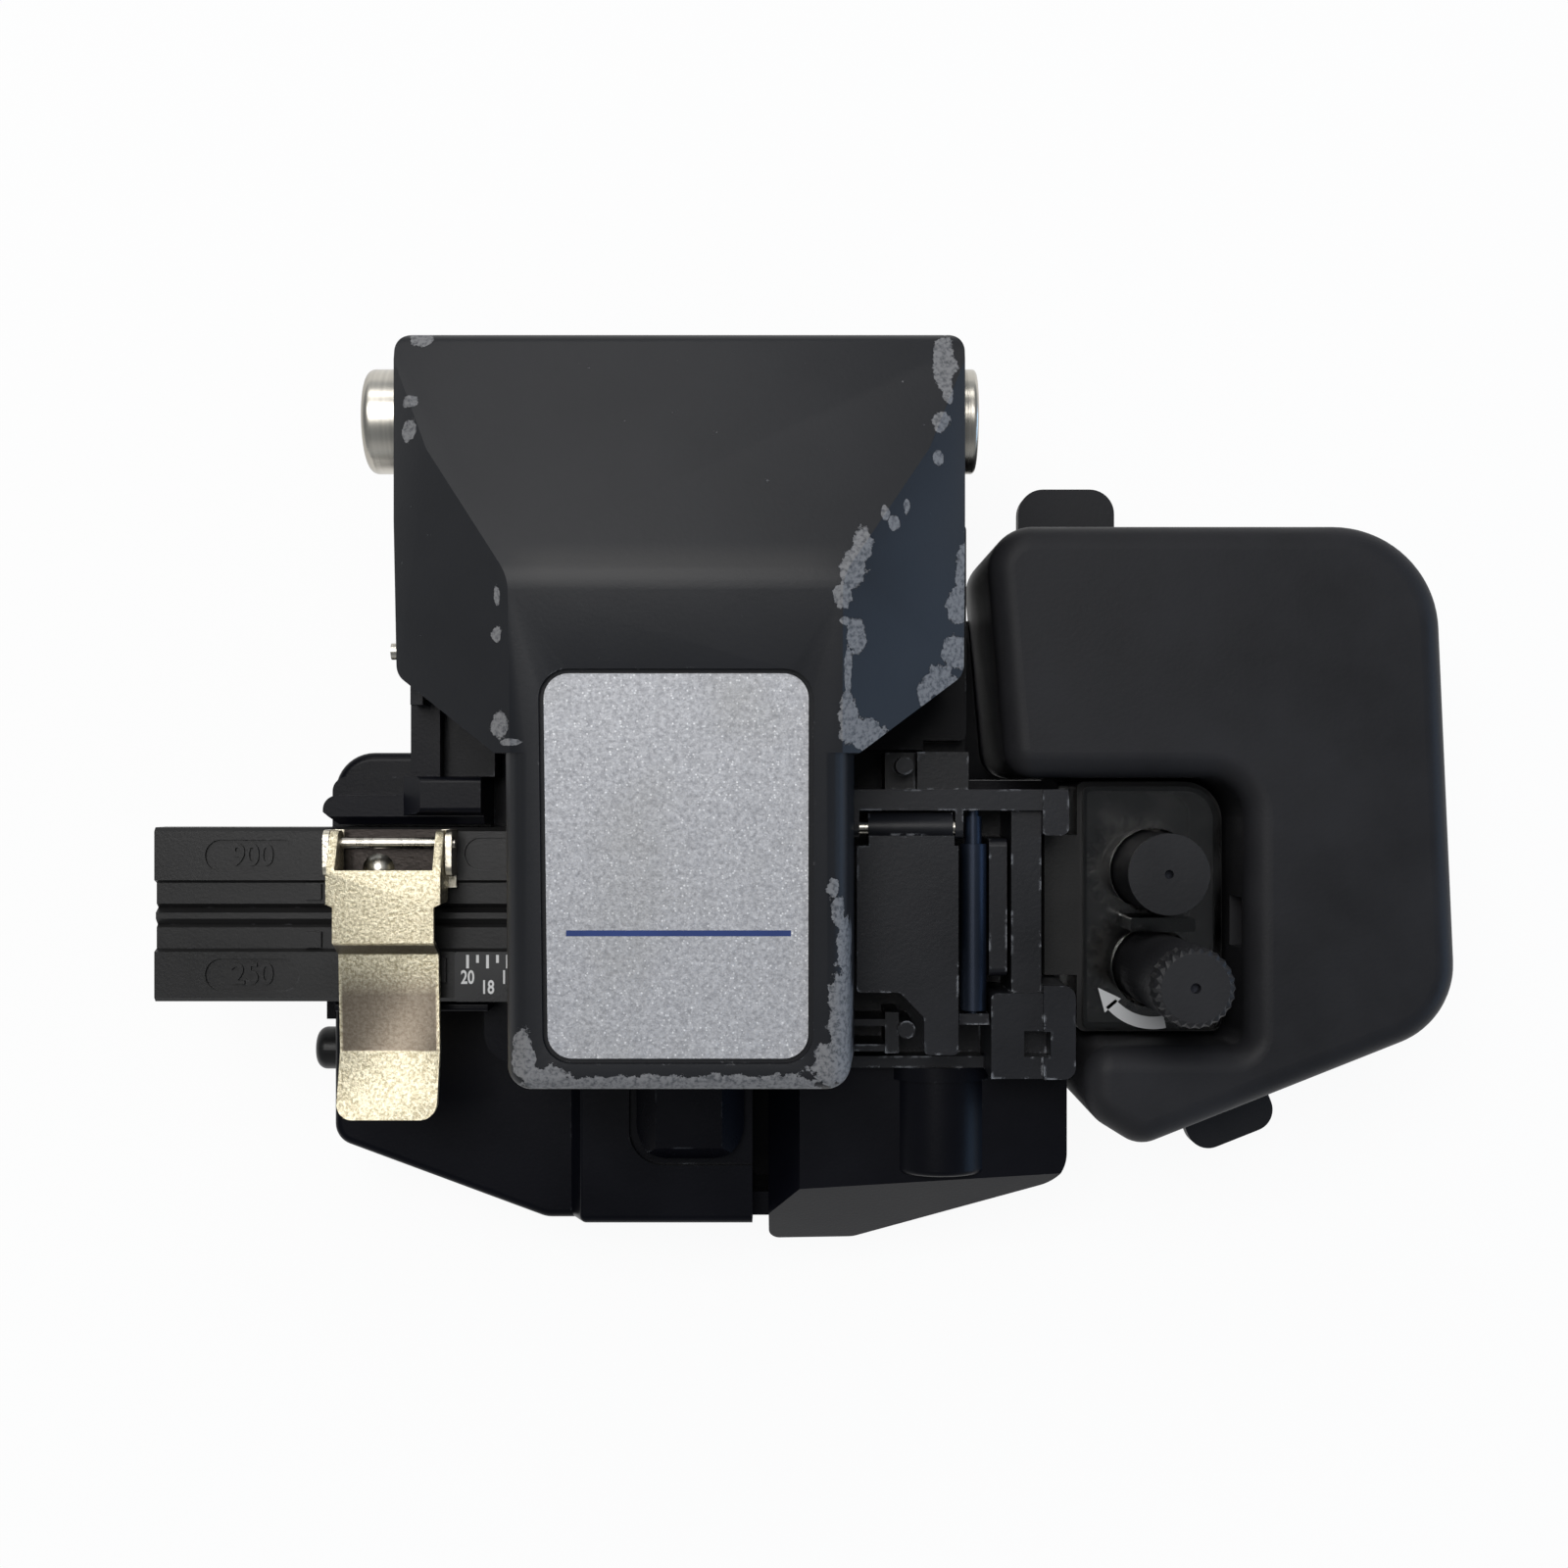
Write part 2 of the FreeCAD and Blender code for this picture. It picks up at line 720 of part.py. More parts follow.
# ================================================================ lid
def lid_form(inset, low):
    """The outer form of the lid, or its inside when inset is the wall."""
    left = lid_centre - lid_half_width + inset
    right = lid_centre + lid_half_width - inset
    neck_left = lid_centre - neck_half_width + inset
    neck_right = lid_centre + neck_half_width - inset
    corner = max(1.8 - inset, 0.3)
    rear = lid_rear - inset
    wide = flat_shape([
        (left, rear, corner), (left, side_front + inset / 2, corner),
        (neck_left, neck_start + inset / 2, 0), (neck_right, neck_start + inset / 2, 0),
        (right, side_front + inset / 2, corner), (right, rear, corner)], low, crest_z + 5)
    neck_top = neck_top_half_width - inset
    neck = front_shape([(neck_left, low, 0), (lid_centre - neck_top, crest_z + 5, 0),
                        (lid_centre + neck_top, crest_z + 5, 0), (neck_right, low, 0)],
                       lid_front + inset, crest_y)
    drop = inset * 1.04
    profile = side_shape([
        (rear, low, 0), (rear, lid_rear_top - drop, max(1.4 - inset, 0.2)),
        (crest_y, crest_z - drop, crest_radius),
        (lid_front + inset, lid_front_top - drop, max(1.6 - inset, 0.2)),
        (lid_front + inset, low, 0)], left - 1, right + 1)
    wide = wide.common(profile)
    neck = neck.common(profile)
    slope = (crest_z - lid_rear_top) / (lid_rear - crest_y)
    for side in (-1, 1):
        edge_x = lid_centre + side * lid_half_width
        rear_point = V(edge_x - side * facet_rear_inset, facet_rear_y,
                       lid_rear_top + slope * (lid_rear - facet_rear_y))
        crest_point = V(edge_x - side * facet_top_inset, crest_y, crest_z)
        low_z = crest_z - (crest_z - lid_front_top) * (crest_y - neck_start) / (crest_y - lid_front)
        neck_point = V(edge_x - side * facet_top_inset, neck_start, low_z)
        normal = rear_point.sub(crest_point).cross(neck_point.sub(crest_point)).normalize()
        if normal.z < 0:
            normal = normal * -1
        wide = cut_above_plane(wide, crest_point.sub(normal * inset), normal)
        bevel = V(side, 0, 1.2).normalize()
        wide = cut_above_plane(wide, rear_point.sub(bevel * inset), bevel)
    return wide, neck


def label_placement():
    angle = math.degrees(math.atan2(crest_z - lid_front_top, crest_y - lid_front))
    return FreeCAD.Placement(V(lid_centre, lid_front, lid_front_top), FreeCAD.Rotation(X_AXIS, angle))


def label_shape(grow, low, high):
    near = label_front_margin - grow
    far = label_front_margin + label_length + grow
    half = label_half_width + grow
    corner = label_corner + grow
    shape = flat_shape([(-half, near, corner), (half, near, corner), (half, far, corner),
                        (-half, far, corner)], low, high)
    shape.Placement = label_placement()
    return shape


def make_lid_shell():
    wide, neck = lid_form(0, lid_rim)
    neck = round_edges(neck, neck_edge_radius, lambda e: e.BoundBox.YLength > 30 and e.BoundBox.ZMin > 40)
    outer = join(wide, neck)
    for side, wall_x in ((-1, lid_centre - lid_half_width), (1, lid_centre + lid_half_width - lid_wall)):
        lobe = rod(V(wall_x, pin_y, pin_z), V(wall_x + lid_wall, pin_y, pin_z), lobe_radius)
        web = block(wall_x, wall_x + lid_wall, pin_y - lobe_radius, pin_y + lobe_radius,
                    pin_z, lid_rim + 1)
        outer = outer.fuse(lobe.fuse(web))
    inner_wide, inner_neck = lid_form(lid_wall, lid_rim - 0.5)
    shell = outer.cut(join(inner_wide, inner_neck))
    shell = shell.cut(label_shape(label_border, -label_recess, 4))
    shell = shell.cut(rod(V(-80, pin_y, pin_z), V(80, pin_y, pin_z), pin_radius + running_fit))
    shell = shell.cut(rod(V(-80, cross_pin_y, cross_pin_z), V(80, cross_pin_y, cross_pin_z),
                          cross_pin_radius))
    hook_x = lid_centre - lid_half_width
    hook = block(hook_x + 0.2, hook_x + 0.2 + hook_size, side_front - 2.6, side_front + 0.8,
                 lid_rim, lid_rim + 3)
    boss_y = pawl_tail_y - 1.4
    boss = rod(V(pawl_x, boss_y, release_top + release_rise + lift_gap), V(pawl_x, boss_y, crest_z),
               release_head_radius)
    boss = boss.common(lid_form(lid_wall / 2, release_top)[0])
    return join(shell, hook, boss)


def make_label_plate():
    return label_shape(0, -label_recess, -label_recess + label_thickness)


def make_cross_pin():
    return rod(V(lid_centre - lid_half_width - cross_pin_stand_out, cross_pin_y, cross_pin_z),
               V(lid_centre + lid_half_width - 0.2, cross_pin_y, cross_pin_z), cross_pin_radius)


def make_clamp_carrier():
    left = blade_x - carrier_half_width
    right = blade_x + carrier_half_width
    top = carrier_bottom + carrier_thickness
    plate = block(left, right, carrier_front, carrier_rear, carrier_bottom, top)
    pieces = [plate]
    for arm_x in (left, right - carrier_arm):
        pieces.append(side_shape([(carrier_front, carrier_bottom, 0),
                                  (cross_pin_y + 1.8, cross_pin_z - 1.8, 1.7),
                                  (cross_pin_y + 1.8, cross_pin_z + 1.8, 1.7),
                                  (carrier_front, top + 0.6, 0)], arm_x, arm_x + carrier_arm))
    carrier = join(*pieces)
    gap = block(blade_x - anvil_half_width - 1.2, blade_x + anvil_half_width + 1.2,
                carrier_front + 1.5, carrier_rear - 1.5, carrier_bottom - 1, top + 1)
    bore = rod(V(left - 1, cross_pin_y, cross_pin_z), V(right + 1, cross_pin_y, cross_pin_z),
               cross_pin_radius + running_fit)
    return carrier.cut(gap).cut(bore)


def pad_pair(z0, z1, corner):
    pads = []
    for side in (-1, 1):
        near = blade_x + side * pad_inner
        far = blade_x + side * pad_outer
        x0, x1 = min(near, far), max(near, far)
        pads.append(flat_shape([(x0, fibre_y - pad_half_length, corner), (x1, fibre_y - pad_half_length, corner),
                                (x1, fibre_y + pad_half_length, corner),
                                (x0, fibre_y + pad_half_length, corner)], z0, z1))
    return pads


def make_anvil():
    foot = front_shape([(blade_x - anvil_half_width, anvil_bottom, 0.5),
                        (blade_x + anvil_half_width, anvil_bottom, 0.5),
                        (blade_x + anvil_half_width, anvil_bottom + anvil_height, 0),
                        (blade_x - anvil_half_width, anvil_bottom + anvil_height, 0)],
                       fibre_y - anvil_half_length, fibre_y + anvil_half_length)
    stem = rod(V(blade_x, fibre_y, anvil_bottom + anvil_height - 0.5),
               V(blade_x, fibre_y, holder_bottom + 3.0), stem_radius)
    return foot.fuse(stem)


def make_anvil_holder():
    holder = block(blade_x - holder_half_width, blade_x + holder_half_width,
                   fibre_y - holder_half_length, fibre_y + holder_half_length, holder_bottom, crest_z)
    holder = round_edges(holder, 0.8, lambda e: e.BoundBox.ZLength > 5)
    holder = holder.common(lid_form(lid_wall, lid_rim)[1])
    bore = rod(V(blade_x, fibre_y, holder_bottom - 1), V(blade_x, fibre_y, holder_bottom + 4.2),
               stem_radius + running_fit)
    return holder.cut(bore)


def make_anvil_spring():
    low = anvil_bottom + anvil_height + spring_wire
    high = holder_bottom - spring_wire
    return coil(V(blade_x, fibre_y, low), Z_AXIS, anvil_spring_radius, spring_wire * 0.7,
                anvil_spring_turns, high - low)


# ================================================================ blade slider
blade_z = fibre_z - blade_top_gap - blade_radius


def make_slider():
    arm_left = panel_right + slide_gap
    arm_right = slot_right - slide_gap
    pad_bottom = panel_top - track_depth + thumb_gap
    carriage = block(carriage_left, carriage_right, carriage_front, carriage_rear,
                     carriage_bottom, carriage_top)
    arm = block(arm_left, arm_right, arm_front, arm_rear, carriage_bottom, thumb_top - 0.6)
    tie = block(carriage_right - 1, arm_right, arm_front, arm_rear, carriage_bottom, carriage_top)
    bridge = block(thumb_right - 2, arm_right, arm_front, arm_rear, panel_top + thumb_gap, thumb_top - 0.6)
    thumb = flat_shape([(thumb_left, arm_rear, 0), (thumb_left, thumb_front, thumb_corner),
                        (thumb_right, thumb_front, thumb_corner), (thumb_right, arm_rear, 0)],
                       pad_bottom, thumb_top)
    for normal, point in ((V(-1.3, 0, 1), V(thumb_left + thumb_edge, 0, thumb_top)),
                          (V(0, -1.8, 1), V(0, thumb_front + thumb_edge * 0.7, thumb_top)),
                          (V(1.3, 0, 1), V(thumb_right - thumb_edge, 0, thumb_top))):
        thumb = cut_above_plane(thumb, point, normal)
    pieces = [carriage, arm, tie, bridge, thumb]
    fork_top = blade_z + fork_top_over_axle
    for side in (-1, 1):
        near = blade_x + side * (blade_thickness / 2 + fork_gap)
        far = near + side * fork_wall
        pieces.append(side_shape([(blade_y - fork_half_length, carriage_top - 1, 0),
                                  (blade_y + fork_half_length, carriage_top - 1, 0),
                                  (blade_y + fork_half_length, fork_top, 2.3),
                                  (blade_y - fork_half_length, fork_top, 2.3)],
                                 min(near, far), max(near, far)))
    slider = join(*pieces)
    latch_front = pawl_hook_y - 1.2 - slider_travel - 0.4
    cuts = [
        block(blade_x - blade_thickness / 2 - fork_gap, blade_x + blade_thickness / 2 + fork_gap,
              blade_y - blade_radius - 0.6, blade_y + blade_radius + 0.6,
              blade_z - blade_radius - 0.6, carriage_top + 1),
        block(pawl_x - pawl_width / 2 - slide_gap, pawl_x + pawl_width / 2 + slide_gap,
              latch_front, latch_front + 2.2, carriage_top - hook_depth, carriage_top + 1),
        rod(V(blade_x - 6, blade_y, blade_z), V(blade_x + 6, blade_y, blade_z), axle_radius),
    ]
    for side in (-1, 1):
        rod_x = blade_x + side * rod_spacing / 2
        cuts.append(rod(V(rod_x, -60, rod_z), V(rod_x, 40, rod_z), rod_radius + running_fit))
    return slider.cut(Part.makeCompound(cuts))


def make_blade_wheel():
    half = blade_thickness / 2
    bore = axle_radius + running_fit
    profile = Part.makePolygon([V(-half, bore, 0), V(-half, blade_radius - blade_bevel * 2, 0),
                                V(-0.08, blade_radius, 0), V(0.08, blade_radius, 0),
                                V(half, blade_radius - blade_bevel * 2, 0), V(half, bore, 0),
                                V(-half, bore, 0)])
    wheel = Part.Face(profile).revolve(V(0, 0, 0), X_AXIS, 360)
    holes = []
    for number in range(index_holes):
        angle = 2 * math.pi * number / index_holes
        y = index_hole_circle * math.cos(angle)
        z = index_hole_circle * math.sin(angle)
        holes.append(rod(V(-half - 1, y, z), V(half + 1, y, z), index_hole_radius))
    wheel = wheel.cut(Part.makeCompound(holes))
    wheel.translate(V(blade_x, blade_y, blade_z))
    return wheel


def make_blade_axle():
    reach = blade_thickness / 2 + fork_gap + fork_wall
    axle = rod(V(blade_x - reach, blade_y, blade_z), V(blade_x + reach, blade_y, blade_z), axle_radius)
    head = rod(V(blade_x + reach, blade_y, blade_z), V(blade_x + reach + 1.2, blade_y, blade_z), 2.1)
    slot = block(blade_x + reach + 0.6, blade_x + reach + 2, blade_y - 0.3, blade_y + 0.3,
                 blade_z - 3, blade_z + 3)
    return axle.fuse(head).cut(slot)


def make_guide_rods():
    rods = []
    for side in (-1, 1):
        rod_x = blade_x + side * rod_spacing / 2
        rods.append(rod(V(rod_x, cavity_front - 1.4, rod_z), V(rod_x, cavity_rear + 1.4, rod_z),
                        rod_radius))
    return Part.makeCompound(rods)


def make_return_spring():
    start = carriage_rear + spring_wire
    return coil(V(blade_x, start, rod_z), Y_AXIS, return_spring_radius, spring_wire,
                return_spring_turns, cavity_rear - spring_wire - start)


def make_latch_pawl():
    bottom = carriage_top + 0.5
    top = bottom + pawl_thickness
    pawl = side_shape([(pawl_hook_y - 1.2, bottom - 0.2, 0.1), (pawl_hook_y, bottom - 0.2, 0.1),
                       (pawl_hook_y + 0.6, bottom + 0.75, 0), (pawl_pivot_y - 2, bottom + 0.3, 0),
                       (pawl_pivot_y, pawl_pivot_z - 1.9, 0.8), (pawl_tail_y, bottom, 0.4),
                       (pawl_tail_y, top, 0.4), (pawl_tail_y - 3.4, top, 0.5),
                       (pawl_pivot_y, pawl_pivot_z + 1.9, 0.6),
                       (pawl_hook_y - 1.2, top, 0.3)],
                      pawl_x - pawl_width / 2, pawl_x + pawl_width / 2)
    bore = rod(V(pawl_x - 3, pawl_pivot_y, pawl_pivot_z), V(pawl_x + 3, pawl_pivot_y, pawl_pivot_z),
               pawl_pin_radius + running_fit)
    return pawl.cut(bore)


def make_pawl_pin():
    return rod(V(pawl_x - 4, pawl_pivot_y, pawl_pivot_z), V(pawl_x + 4, pawl_pivot_y, pawl_pivot_z),
               pawl_pin_radius)


def make_release_pin():
    y = pawl_tail_y - 1.4
    foot = carriage_top + 0.5 + pawl_thickness + 0.15
    pin = rod(V(pawl_x, y, foot), V(pawl_x, y, release_top), release_pin_radius)
    head = rod(V(pawl_x, y, release_top - 1.6), V(pawl_x, y, release_top), release_head_radius)
    return pin.fuse(round_edges(head, 0.5, lambda e: e.BoundBox.ZMin > release_top - 0.01))


# ================================================================ adapter plate, rails and scale
adapter_bottom = bed_top + adapter_bottom_gap


def make_adapter_plate():
    top = adapter_top
    low = top - adapter_step
    rear_step = adapter_rear - rear_band
    front_step = adapter_front + front_band
    section = Part.makePolygon([V(adapter_left, y, z) for y, z in [
        (adapter_rear, adapter_bottom), (adapter_rear, top - 0.4), (adapter_rear - 0.4, top),
        (rear_step, top), (rear_step - 0.3, low),
        (groove_900_y + 0.4, low), (groove_900_y, low - groove_depth), (groove_900_y - 0.5, low + 0.3),
        (groove_250_y + 0.6, low + 0.3), (groove_250_y, low - groove_depth * 0.6),
        (groove_250_y - 0.3, low), (front_step + 0.3, low), (front_step, top),
        (adapter_front + 0.4, top), (adapter_front, top - 0.4), (adapter_front, adapter_bottom),
        (adapter_rear, adapter_bottom)]])
    plate = Part.Face(section).extrude(V(adapter_right - adapter_left, 0, 0))
    recess_x = adapter_left + recess_offset
    for centre_x, centre_y in ((recess_x, adapter_rear - rear_band / 2 - 0.2),
                               (recess_x, adapter_front + front_band / 2 + 0.2),
                               (adapter_right - recess_length / 2 - 1.4, adapter_rear - rear_band / 2)):
        half = recess_length / 2
        corner = recess_width / 2 - 0.01
        plate = plate.cut(flat_shape([
            (centre_x - half, centre_y - recess_width / 2, corner),
            (centre_x + half, centre_y - recess_width / 2, corner),
            (centre_x + half, centre_y + recess_width / 2, corner),
            (centre_x - half, centre_y + recess_width / 2, corner)], top - recess_depth, top + 1))
    for y in (rear_step - peg_size / 2 - 0.4, front_step + peg_size / 2 + 0.4):
        peg = block(peg_x - peg_size / 2, peg_x + peg_size / 2, y - peg_size / 2, y + peg_size / 2,
                    low - 0.5, low + 0.4)
        plate = plate.fuse(peg)
    seat = block(scale_left, adapter_right + 1, adapter_front - 1, adapter_front + scale_width - 0.7,
                 top - scale_thickness, top + 1)
    plate = plate.cut(seat)
    nub = block(scale_left - 1.7, scale_left - 0.8, adapter_front + 2.0, adapter_front + 4.4, top - 1, top + 0.6)
    plate = plate.fuse(nub)
    bracket_hole = rod(V(bracket_screw_x, bracket_screw_y, adapter_bottom + 0.8),
                       V(bracket_screw_x, bracket_screw_y, top + 1), 0.8)
    return plate.cut(bracket_hole).removeSplitter()


def make_scale_plate():
    return flat_shape([(scale_left, adapter_front, 0.2), (adapter_right, adapter_front, 0.2),
                       (adapter_right, adapter_front + scale_width - 0.7, 0.2),
                       (scale_left, adapter_front + scale_width - 0.7, 0.2)],
                      adapter_top - scale_thickness, adapter_top)


def make_rear_rail():
    rear = rail_rear
    front = adapter_rear + rail_gap
    low = flat_shape([(rail_left, front, 0), (rail_right, front, 0), (rail_right, rear, 0),
                      (rail_step_x + 1.0, rear, 0), (rail_step_x, rail_low_rear, 1.6),
                      (rail_left, rail_low_rear, 1.4)], bed_top, rail_low_top)
    low = cut_above_plane(low, V(0, front + 0.8, rail_low_top), V(0, -1, 1))
    low = cut_above_plane(low, V(rail_left + 1.5, front, 0), V(-1, -1.2, 0))
    high = side_shape([(front + 0.6, rail_low_top - 2, 0), (rear, rail_low_top - 2, 0),
                       (rear, rail_high_top, 0.6), (front + 1.2, rail_high_top, 0.6)],
                      rail_step_x, rail_right)
    high = cut_above_plane(high, V(rail_step_x, 0, rail_low_top), V(-1, 0, 1))
    return join(low, high)


def make_front_rail():
    rear = adapter_front - rail_gap
    rail = side_shape([(bed_front, bed_top, 0), (rear, bed_top, 0), (rear, front_rail_top, 0.3),
                       (bed_front, front_rail_top, 0.3)], front_rail_left, rail_right)
    return rail


def make_side_button():
    inner = wing_left + wall + 0.2
    button = rod(V(wing_left - button_stand_out, button_y, button_z), V(inner, button_y, button_z),
                 button_radius)
    face_x = wing_left - button_stand_out
    button = round_edges(button, 1.1, lambda e: abs(e.BoundBox.XMin - face_x) < 0.01
                         and abs(e.BoundBox.XMax - face_x) < 0.01)
    flange = rod(V(inner, button_y, button_z), V(inner + button_flange, button_y, button_z),
                 button_radius + button_flange_rim)
    return button.fuse(flange)


# ================================================================ clamp flap
def flap_strip(points, x0, x1):
    """A bent sheet: its upper line (y, z), drawn out from x0 to x1."""
    upper = [V(x0, y, z) for y, z in points]
    lower = []
    for number, (y, z) in enumerate(points):
        before = points[max(number - 1, 0)]
        after = points[min(number + 1, len(points) - 1)]
        way = V(0, after[0] - before[0], after[1] - before[1]).normalize()
        across = V(0, -way.z, way.y)
        if across.z > 0:
            across = across * -1
        lower.append(V(x0, y, z).add(across * flap_sheet))
    outline = Part.makePolygon(upper + lower[::-1] + [upper[0]])
    return Part.Face(outline).extrude(V(x1 - x0, 0, 0))


def make_clamp_flap():
    line = [(flap_plate_rear, flap_top), (flap_step_y, flap_top),
            (flap_step_y - flap_step_run, flap_low_z), (flap_crease_y, flap_crease_z),
            (flap_front, flap_front_z)]
    outline = [(flap_left, flap_plate_rear, 0.4), (flap_left, flap_notch_y, 0),
               (flap_left + flap_notch, flap_notch_y - 0.3, 0), (flap_left + flap_notch, flap_front, flap_corner),
               (flap_right - flap_notch, flap_front, flap_corner),
               (flap_right - flap_notch, flap_notch_y - 0.3, 0),
               (flap_right, flap_notch_y, 0), (flap_right, flap_plate_rear, 0.4)]
    sheet = flap_strip(line, flap_left - 1, flap_right + 1).common(flat_shape(outline, 20, 40))
    for ear_x in (flap_left, flap_right - flap_sheet):
        ear = side_shape([(flap_notch_y, flap_top - 0.3, 0), (flap_notch_y, flap_top - flap_flange, 0.8),
                          (flap_pin_y - flap_ear_radius, flap_pin_z - flap_ear_radius, 0.6),
                          (flap_pin_y + flap_ear_radius, flap_pin_z - flap_ear_radius, 1.1),
                          (flap_pin_y + flap_ear_radius, flap_pin_z + flap_ear_radius, 1.1),
                          (flap_plate_rear + 0.2, flap_top - 0.3, 0.4)], ear_x, ear_x + flap_sheet)
        sheet = sheet.fuse(ear)
    bore = rod(V(flap_left - 1, flap_pin_y, flap_pin_z), V(flap_right + 1, flap_pin_y, flap_pin_z),
               flap_pin_radius + running_fit)
    return sheet.cut(bore).removeSplitter()


def make_flap_bracket():
    left = flap_left - bracket_gap - bracket_sheet
    right = flap_right + bracket_gap + bracket_sheet
    plate = block(left, right, bracket_front_y - bracket_screw_radius + 0.4, bracket_rear, adapter_top,
                  adapter_top + bracket_sheet)
    pieces = [plate]
    for ear_x in (left, right - bracket_sheet):
        pieces.append(side_shape([(bracket_front_y, adapter_top, 0), (bracket_rear, adapter_top, 0),
                                  (bracket_rear, flap_pin_z + 1.4, 1.0),
                                  (bracket_front_y, flap_pin_z + 1.4, 1.0)], ear_x, ear_x + bracket_sheet))
    bracket = join(*pieces)
    bracket = bracket.cut(rod(V(left - 1, flap_pin_y, flap_pin_z), V(right + 1, flap_pin_y, flap_pin_z),
                              flap_pin_radius))
    hole = rod(V(bracket_screw_x, bracket_screw_y, adapter_top - 1),
               V(bracket_screw_x, bracket_screw_y, adapter_top + 3), 0.8 + screw_fit)
    return bracket.cut(hole)


def make_flap_pin():
    left = flap_left - bracket_gap - bracket_sheet - 0.2
    right = flap_right + bracket_gap + bracket_sheet + 0.2
    return rod(V(left, flap_pin_y, flap_pin_z), V(right, flap_pin_y, flap_pin_z), flap_pin_radius)


def make_bracket_screw():
    seat = adapter_top + bracket_sheet
    ball = Part.makeSphere(bracket_screw_radius * 1.2,
                           V(bracket_screw_x, bracket_screw_y, seat - bracket_screw_radius * 0.66))
    dome = ball.common(rod(V(bracket_screw_x, bracket_screw_y, seat),
                           V(bracket_screw_x, bracket_screw_y, seat + 3), bracket_screw_radius))
    shank = rod(V(bracket_screw_x, bracket_screw_y, adapter_bottom + 0.9),
                V(bracket_screw_x, bracket_screw_y, seat + 0.1), 0.8)
    return dome.fuse(shank)


def make_flap_pad():
    pad_left = flap_left + flap_notch + 1.2
    pad_right = flap_right - flap_notch - 1.2
    pad_bottom = adapter_top - adapter_step + 0.3 + pad_gap
    return block(pad_left, pad_right, flap_step_y + 0.2, flap_notch_y + 0.4, pad_bottom, flap_top - flap_sheet)


# ================================================================ feed frame, tail clamp, guide roller
def make_feed_frame():
    floor_top = deck_z + frame_floor
    front = right_wing_front
    pieces = [
        block(frame_left, chassis_right, front, bar_rear, deck_z, floor_top),
        block(frame_left, bar_right, bar_front, bar_rear, deck_z, bar_top),
        flat_shape([(end_block_left, arm_pin_y - 0.8, 0.4), (bar_right, arm_pin_y - 0.8, 0.8),
                    (bar_right, bar_rear, 0.8), (end_block_left, bar_rear, 0)],
                   deck_z, bar_top + 0.5),
        block(side_wall_left, end_block_left, window_block_rear, bar_front + 0.5, deck_z, side_wall_top),
        flat_shape([(window_block_left, front, 0), (window_block_right, front, 0),
                    (window_block_right, window_block_rear, 0), (window_block_left, window_block_rear, 0.6)],
                   deck_z, window_block_top),
        flat_shape([(corner_block_left, front, 0), (chassis_right, front, 1.2),
                    (chassis_right, window_block_rear + 0.8, 1.2),
                    (corner_block_left, window_block_rear + 0.8, 0)], deck_z, corner_block_top),
        block(11.4, 16.6, bar_rear - 0.2, frame_rear, deck_z, bar_top - 2.4),
        block(8.3, 11.6, bar_rear - 0.2, frame_rear, deck_z, bar_bottom),
        rod(V(10.1, 5.4, deck_z), V(10.1, 5.4, bar_top - 2.0), 0.9),
        block(frame_left, window_block_left + 1, front, front + 1.2, deck_z, bar_bottom - 2),
    ]
    for lug_left in (frame_left, arm_right + lug_gap):
        pieces.append(side_shape([(bar_front + 0.2, arm_pin_z - 4.3, 0), (bar_front + 0.2, bar_top, 0),
                                  (arm_pin_y - 1.1, arm_pin_z + 1.0, 0.8), (arm_pin_y - 1.1, arm_pin_z - 2.4, 0.8)],
                                 lug_left, lug_left + lug_width))
    pieces.append(block(roller_x - 1.5, roller_x + 1.5, roller_front - 1.4, roller_front - rail_gap,
                        deck_z, arm_pin_z + 0.3))
    pieces.append(block(8.2, 9.6, -24.0, -19.8, deck_z, 24.4))
    pieces.append(rod(V(10.3, -21.4, deck_z), V(10.3, -21.4, 26.0), 0.9))
    for rib_y in (-20.9, -23.5):
        pieces.append(block(frame_left, 8.4, rib_y - 0.35, rib_y + 0.35, deck_z, 24.0))
    frame = join(*pieces)
    frame = frame.cut(block(22.0, 22.0 + pocket_size, -23.9, -23.9 + pocket_size,
                            window_block_top - 3, window_block_top + 1))
    frame = frame.cut(rod(V(frame_left - 1, arm_pin_y, arm_pin_z),
                          V(arm_right + lug_gap + lug_width + 0.1, arm_pin_y, arm_pin_z), arm_pin_radius))
    frame = frame.cut(rod(V(roller_x, roller_front - 1.1, roller_z), V(roller_x, roller_front + 1, roller_z),
                          journal_radius + running_fit))
    frame = frame.cut(rod(V(roller_x, neck_rear, roller_z), V(roller_x, bar_rear - 1, roller_z),
                          journal_radius + running_fit))
    return frame


roller_z = fibre_z - 0.05 - roller_radius


def make_guide_roller():
    body = rod(V(roller_x, roller_front, roller_z), V(roller_x, roller_rear, roller_z), roller_radius)
    front = rod(V(roller_x, roller_front - 1.0, roller_z), V(roller_x, roller_front + 1, roller_z),
                journal_radius)
    rear = rod(V(roller_x, roller_rear - 1, roller_z), V(roller_x, bar_front + 0.9, roller_z),
               journal_radius)
    neck = rod(V(roller_x, roller_rear - 1, roller_z), V(roller_x, neck_rear, roller_z), neck_radius)
    return join(body, front, neck, rear)


def make_arm_pin():
    return rod(V(frame_left, arm_pin_y, arm_pin_z),
               V(arm_right + lug_gap + lug_width, arm_pin_y, arm_pin_z), arm_pin_radius)


